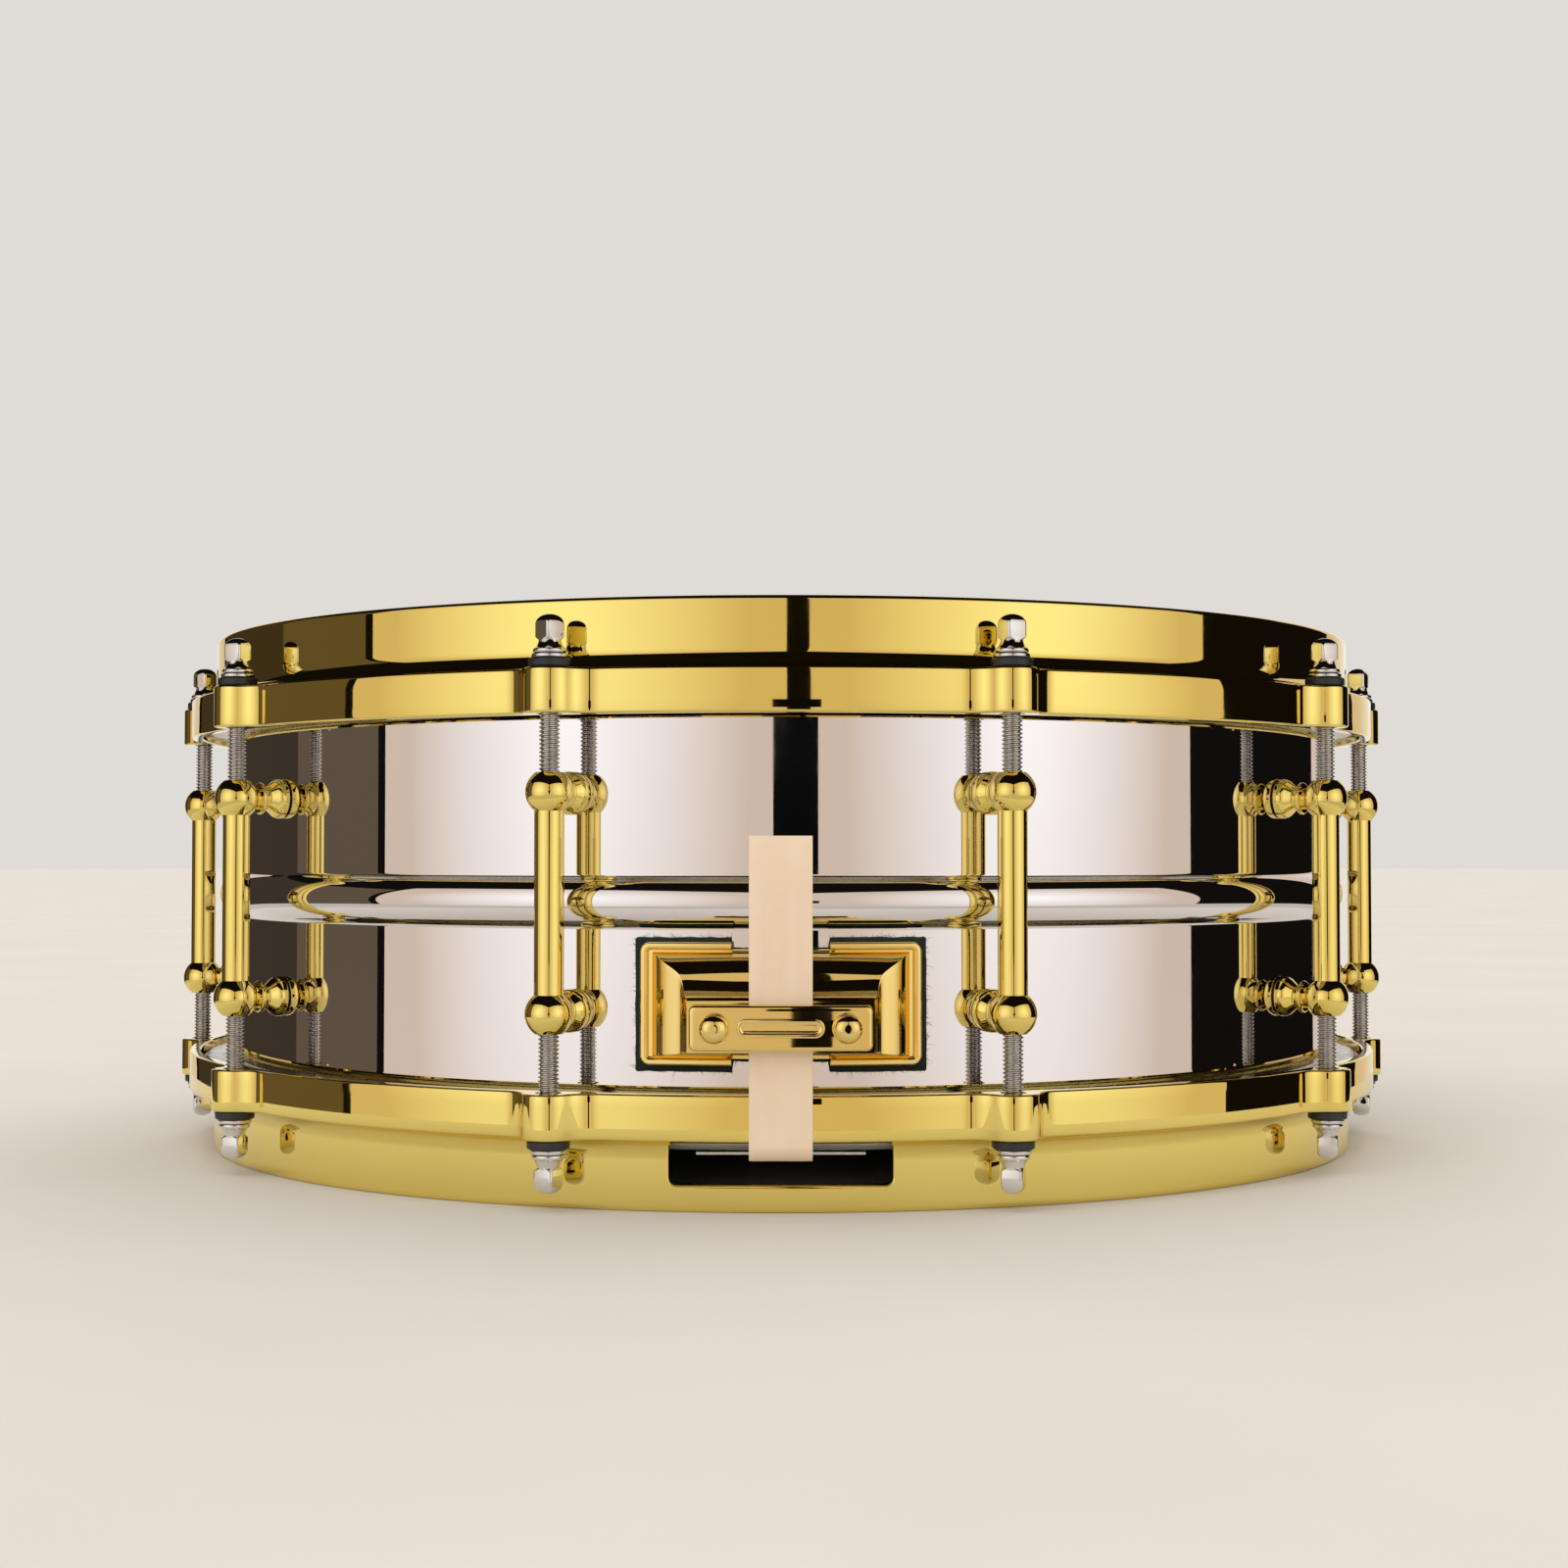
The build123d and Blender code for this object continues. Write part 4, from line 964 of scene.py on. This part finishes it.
# Only the floor near the drum is seen in its metal.
FLOOR_SPLIT, FLOOR_END = 0.345, 14.0
floor_finish = floor_material()
annulus("floor_near", 0.0001, FLOOR_SPLIT, 0, floor_finish)
far_floor = annulus("floor_far", FLOOR_SPLIT, FLOOR_END, 0, floor_finish)
far_floor.visible_glossy = False


WHITE, WARM = (1.20, 1.18, 1.17), (0.74, 0.61, 0.495)
BACK_WHITE = (0.95, 0.94, 0.93)
BLACK = (0.004, 0.004, 0.004)
BROWN, DARK_BROWN = (0.13, 0.098, 0.066), (0.05, 0.037, 0.026)
PALE = (0.60, 0.56, 0.51)


def glow(name, middle, rim):
    """A softbox front: its light goes from one colour in the middle to another at its rim."""
    material = bpy.data.materials.new(name)
    material.use_nodes = True
    tree = material.node_tree
    tree.nodes.clear()
    new, link = tree.nodes.new, tree.links.new
    coords = new("ShaderNodeTexCoord")
    centred = new("ShaderNodeVectorMath")
    centred.operation = "SUBTRACT"
    centred.inputs[1].default_value = (0.5, 0.5, 0.5)
    length = new("ShaderNodeVectorMath")
    length.operation = "LENGTH"
    fade = new("ShaderNodeMapRange")
    fade.inputs["From Min"].default_value = 0.05
    fade.inputs["From Max"].default_value = 0.56
    colour = new("ShaderNodeMix")
    colour.data_type = "RGBA"
    colour.inputs[6].default_value = (*middle, 1)
    colour.inputs[7].default_value = (*rim, 1)
    emit = new("ShaderNodeEmission")
    link(coords.outputs["Generated"], centred.inputs[0])
    link(centred.outputs["Vector"], length.inputs[0])
    link(length.outputs["Value"], fade.inputs["Value"])
    link(fade.outputs["Result"], colour.inputs[0])
    link(colour.outputs[2], emit.inputs["Color"])
    link(emit.outputs["Emission"], new("ShaderNodeOutputMaterial").inputs["Surface"])
    return material


def only_reflected(obj):
    """Leaves an object to be seen only in reflections."""
    obj.visible_camera = False
    obj.visible_diffuse = False
    obj.visible_shadow = False


def panel(name, start, stop, distance, low, high, middle, rim=None):
    """An upright panel between two azimuths (0 is the front) that only mirror finishes see."""
    (ax, ay), (bx, by) = [
        (distance * math.sin(math.radians(a)), -distance * math.cos(math.radians(a))) for a in (start, stop)
    ]
    points = [(ax, ay, low), (bx, by, low), (bx, by, high), (ax, ay, high)]
    only_reflected(stage_mesh(name, points, [(0, 1, 2, 3)], glow(name, middle, rim or middle)))


panel("softbox_left", 0.95, -79.8, 1.6, -0.45, 1.03, WHITE, WARM)
panel("softbox_right", 4.9, 83.3, 1.6, -0.45, 1.03, WHITE, WARM)
panel("camera_shade", -3.2, 6.6, 1.55, 0.0, 0.211, BLACK)
panel("wall_left", -82, -108, 1.7, -0.4, 0.9, BROWN)
panel("wall_left_far", -108, -140, 1.7, -0.4, 0.9, DARK_BROWN)
panel("softbox_back_left", -142, -176, 1.6, -0.45, 1.0, BACK_WHITE, WARM)
panel("softbox_back_right", 132, 178, 1.6, -0.45, 1.0, BACK_WHITE, WARM)

# Stands in for the far floor in the reflections that a raised view sees.
only_reflected(annulus("floor_glow", 0.6, 1.55, -0.22, glow("floor_glow", PALE, PALE)))


def soft_light(name, azimuth, height, strength):
    """A broad even light that shapes the matt pieces and isn't mirrored in the metal."""
    data = bpy.data.lights.new(name, "SUN")
    data.angle = math.radians(70)
    data.energy = strength
    obj = bpy.data.objects.new(name, data)
    obj.rotation_euler = (math.radians(90 - height), 0, math.radians(azimuth))
    obj.visible_glossy = False
    scene.collection.objects.link(obj)


soft_light("key_front", -20, 42, 1.1)
soft_light("fill_back", 160, 50, 0.7)

# The world is a pale room to the eye and to matt pieces, and nearly black in reflections.
world = bpy.data.worlds.new("studio")
scene.world = world
world.use_nodes = True
tree = world.node_tree
tree.nodes.clear()
path = tree.nodes.new("ShaderNodeLightPath")
room = tree.nodes.new("ShaderNodeBackground")
room.inputs["Color"].default_value = (0.0065, 0.0050, 0.0042, 1)
sky = tree.nodes.new("ShaderNodeBackground")
sky.inputs["Color"].default_value = (0.74, 0.71, 0.68, 1)
mix = tree.nodes.new("ShaderNodeMixShader")
tree.links.new(path.outputs["Is Glossy Ray"], mix.inputs["Fac"])
tree.links.new(sky.outputs["Background"], mix.inputs[1])
tree.links.new(room.outputs["Background"], mix.inputs[2])
tree.links.new(mix.outputs["Shader"], tree.nodes.new("ShaderNodeOutputWorld").inputs["Surface"])

camera_data = bpy.data.cameras.new("camera")
camera_data.lens = 54.9
camera_data.sensor_width = 36
camera_data.clip_start = 0.01
camera = bpy.data.objects.new("camera", camera_data)
camera.location = (0.0008, -0.791, 0.0913)
camera.rotation_euler = (math.radians(91.66), 0, 0)
scene.collection.objects.link(camera)
scene.camera = camera
scene.view_settings.view_transform = "Standard"
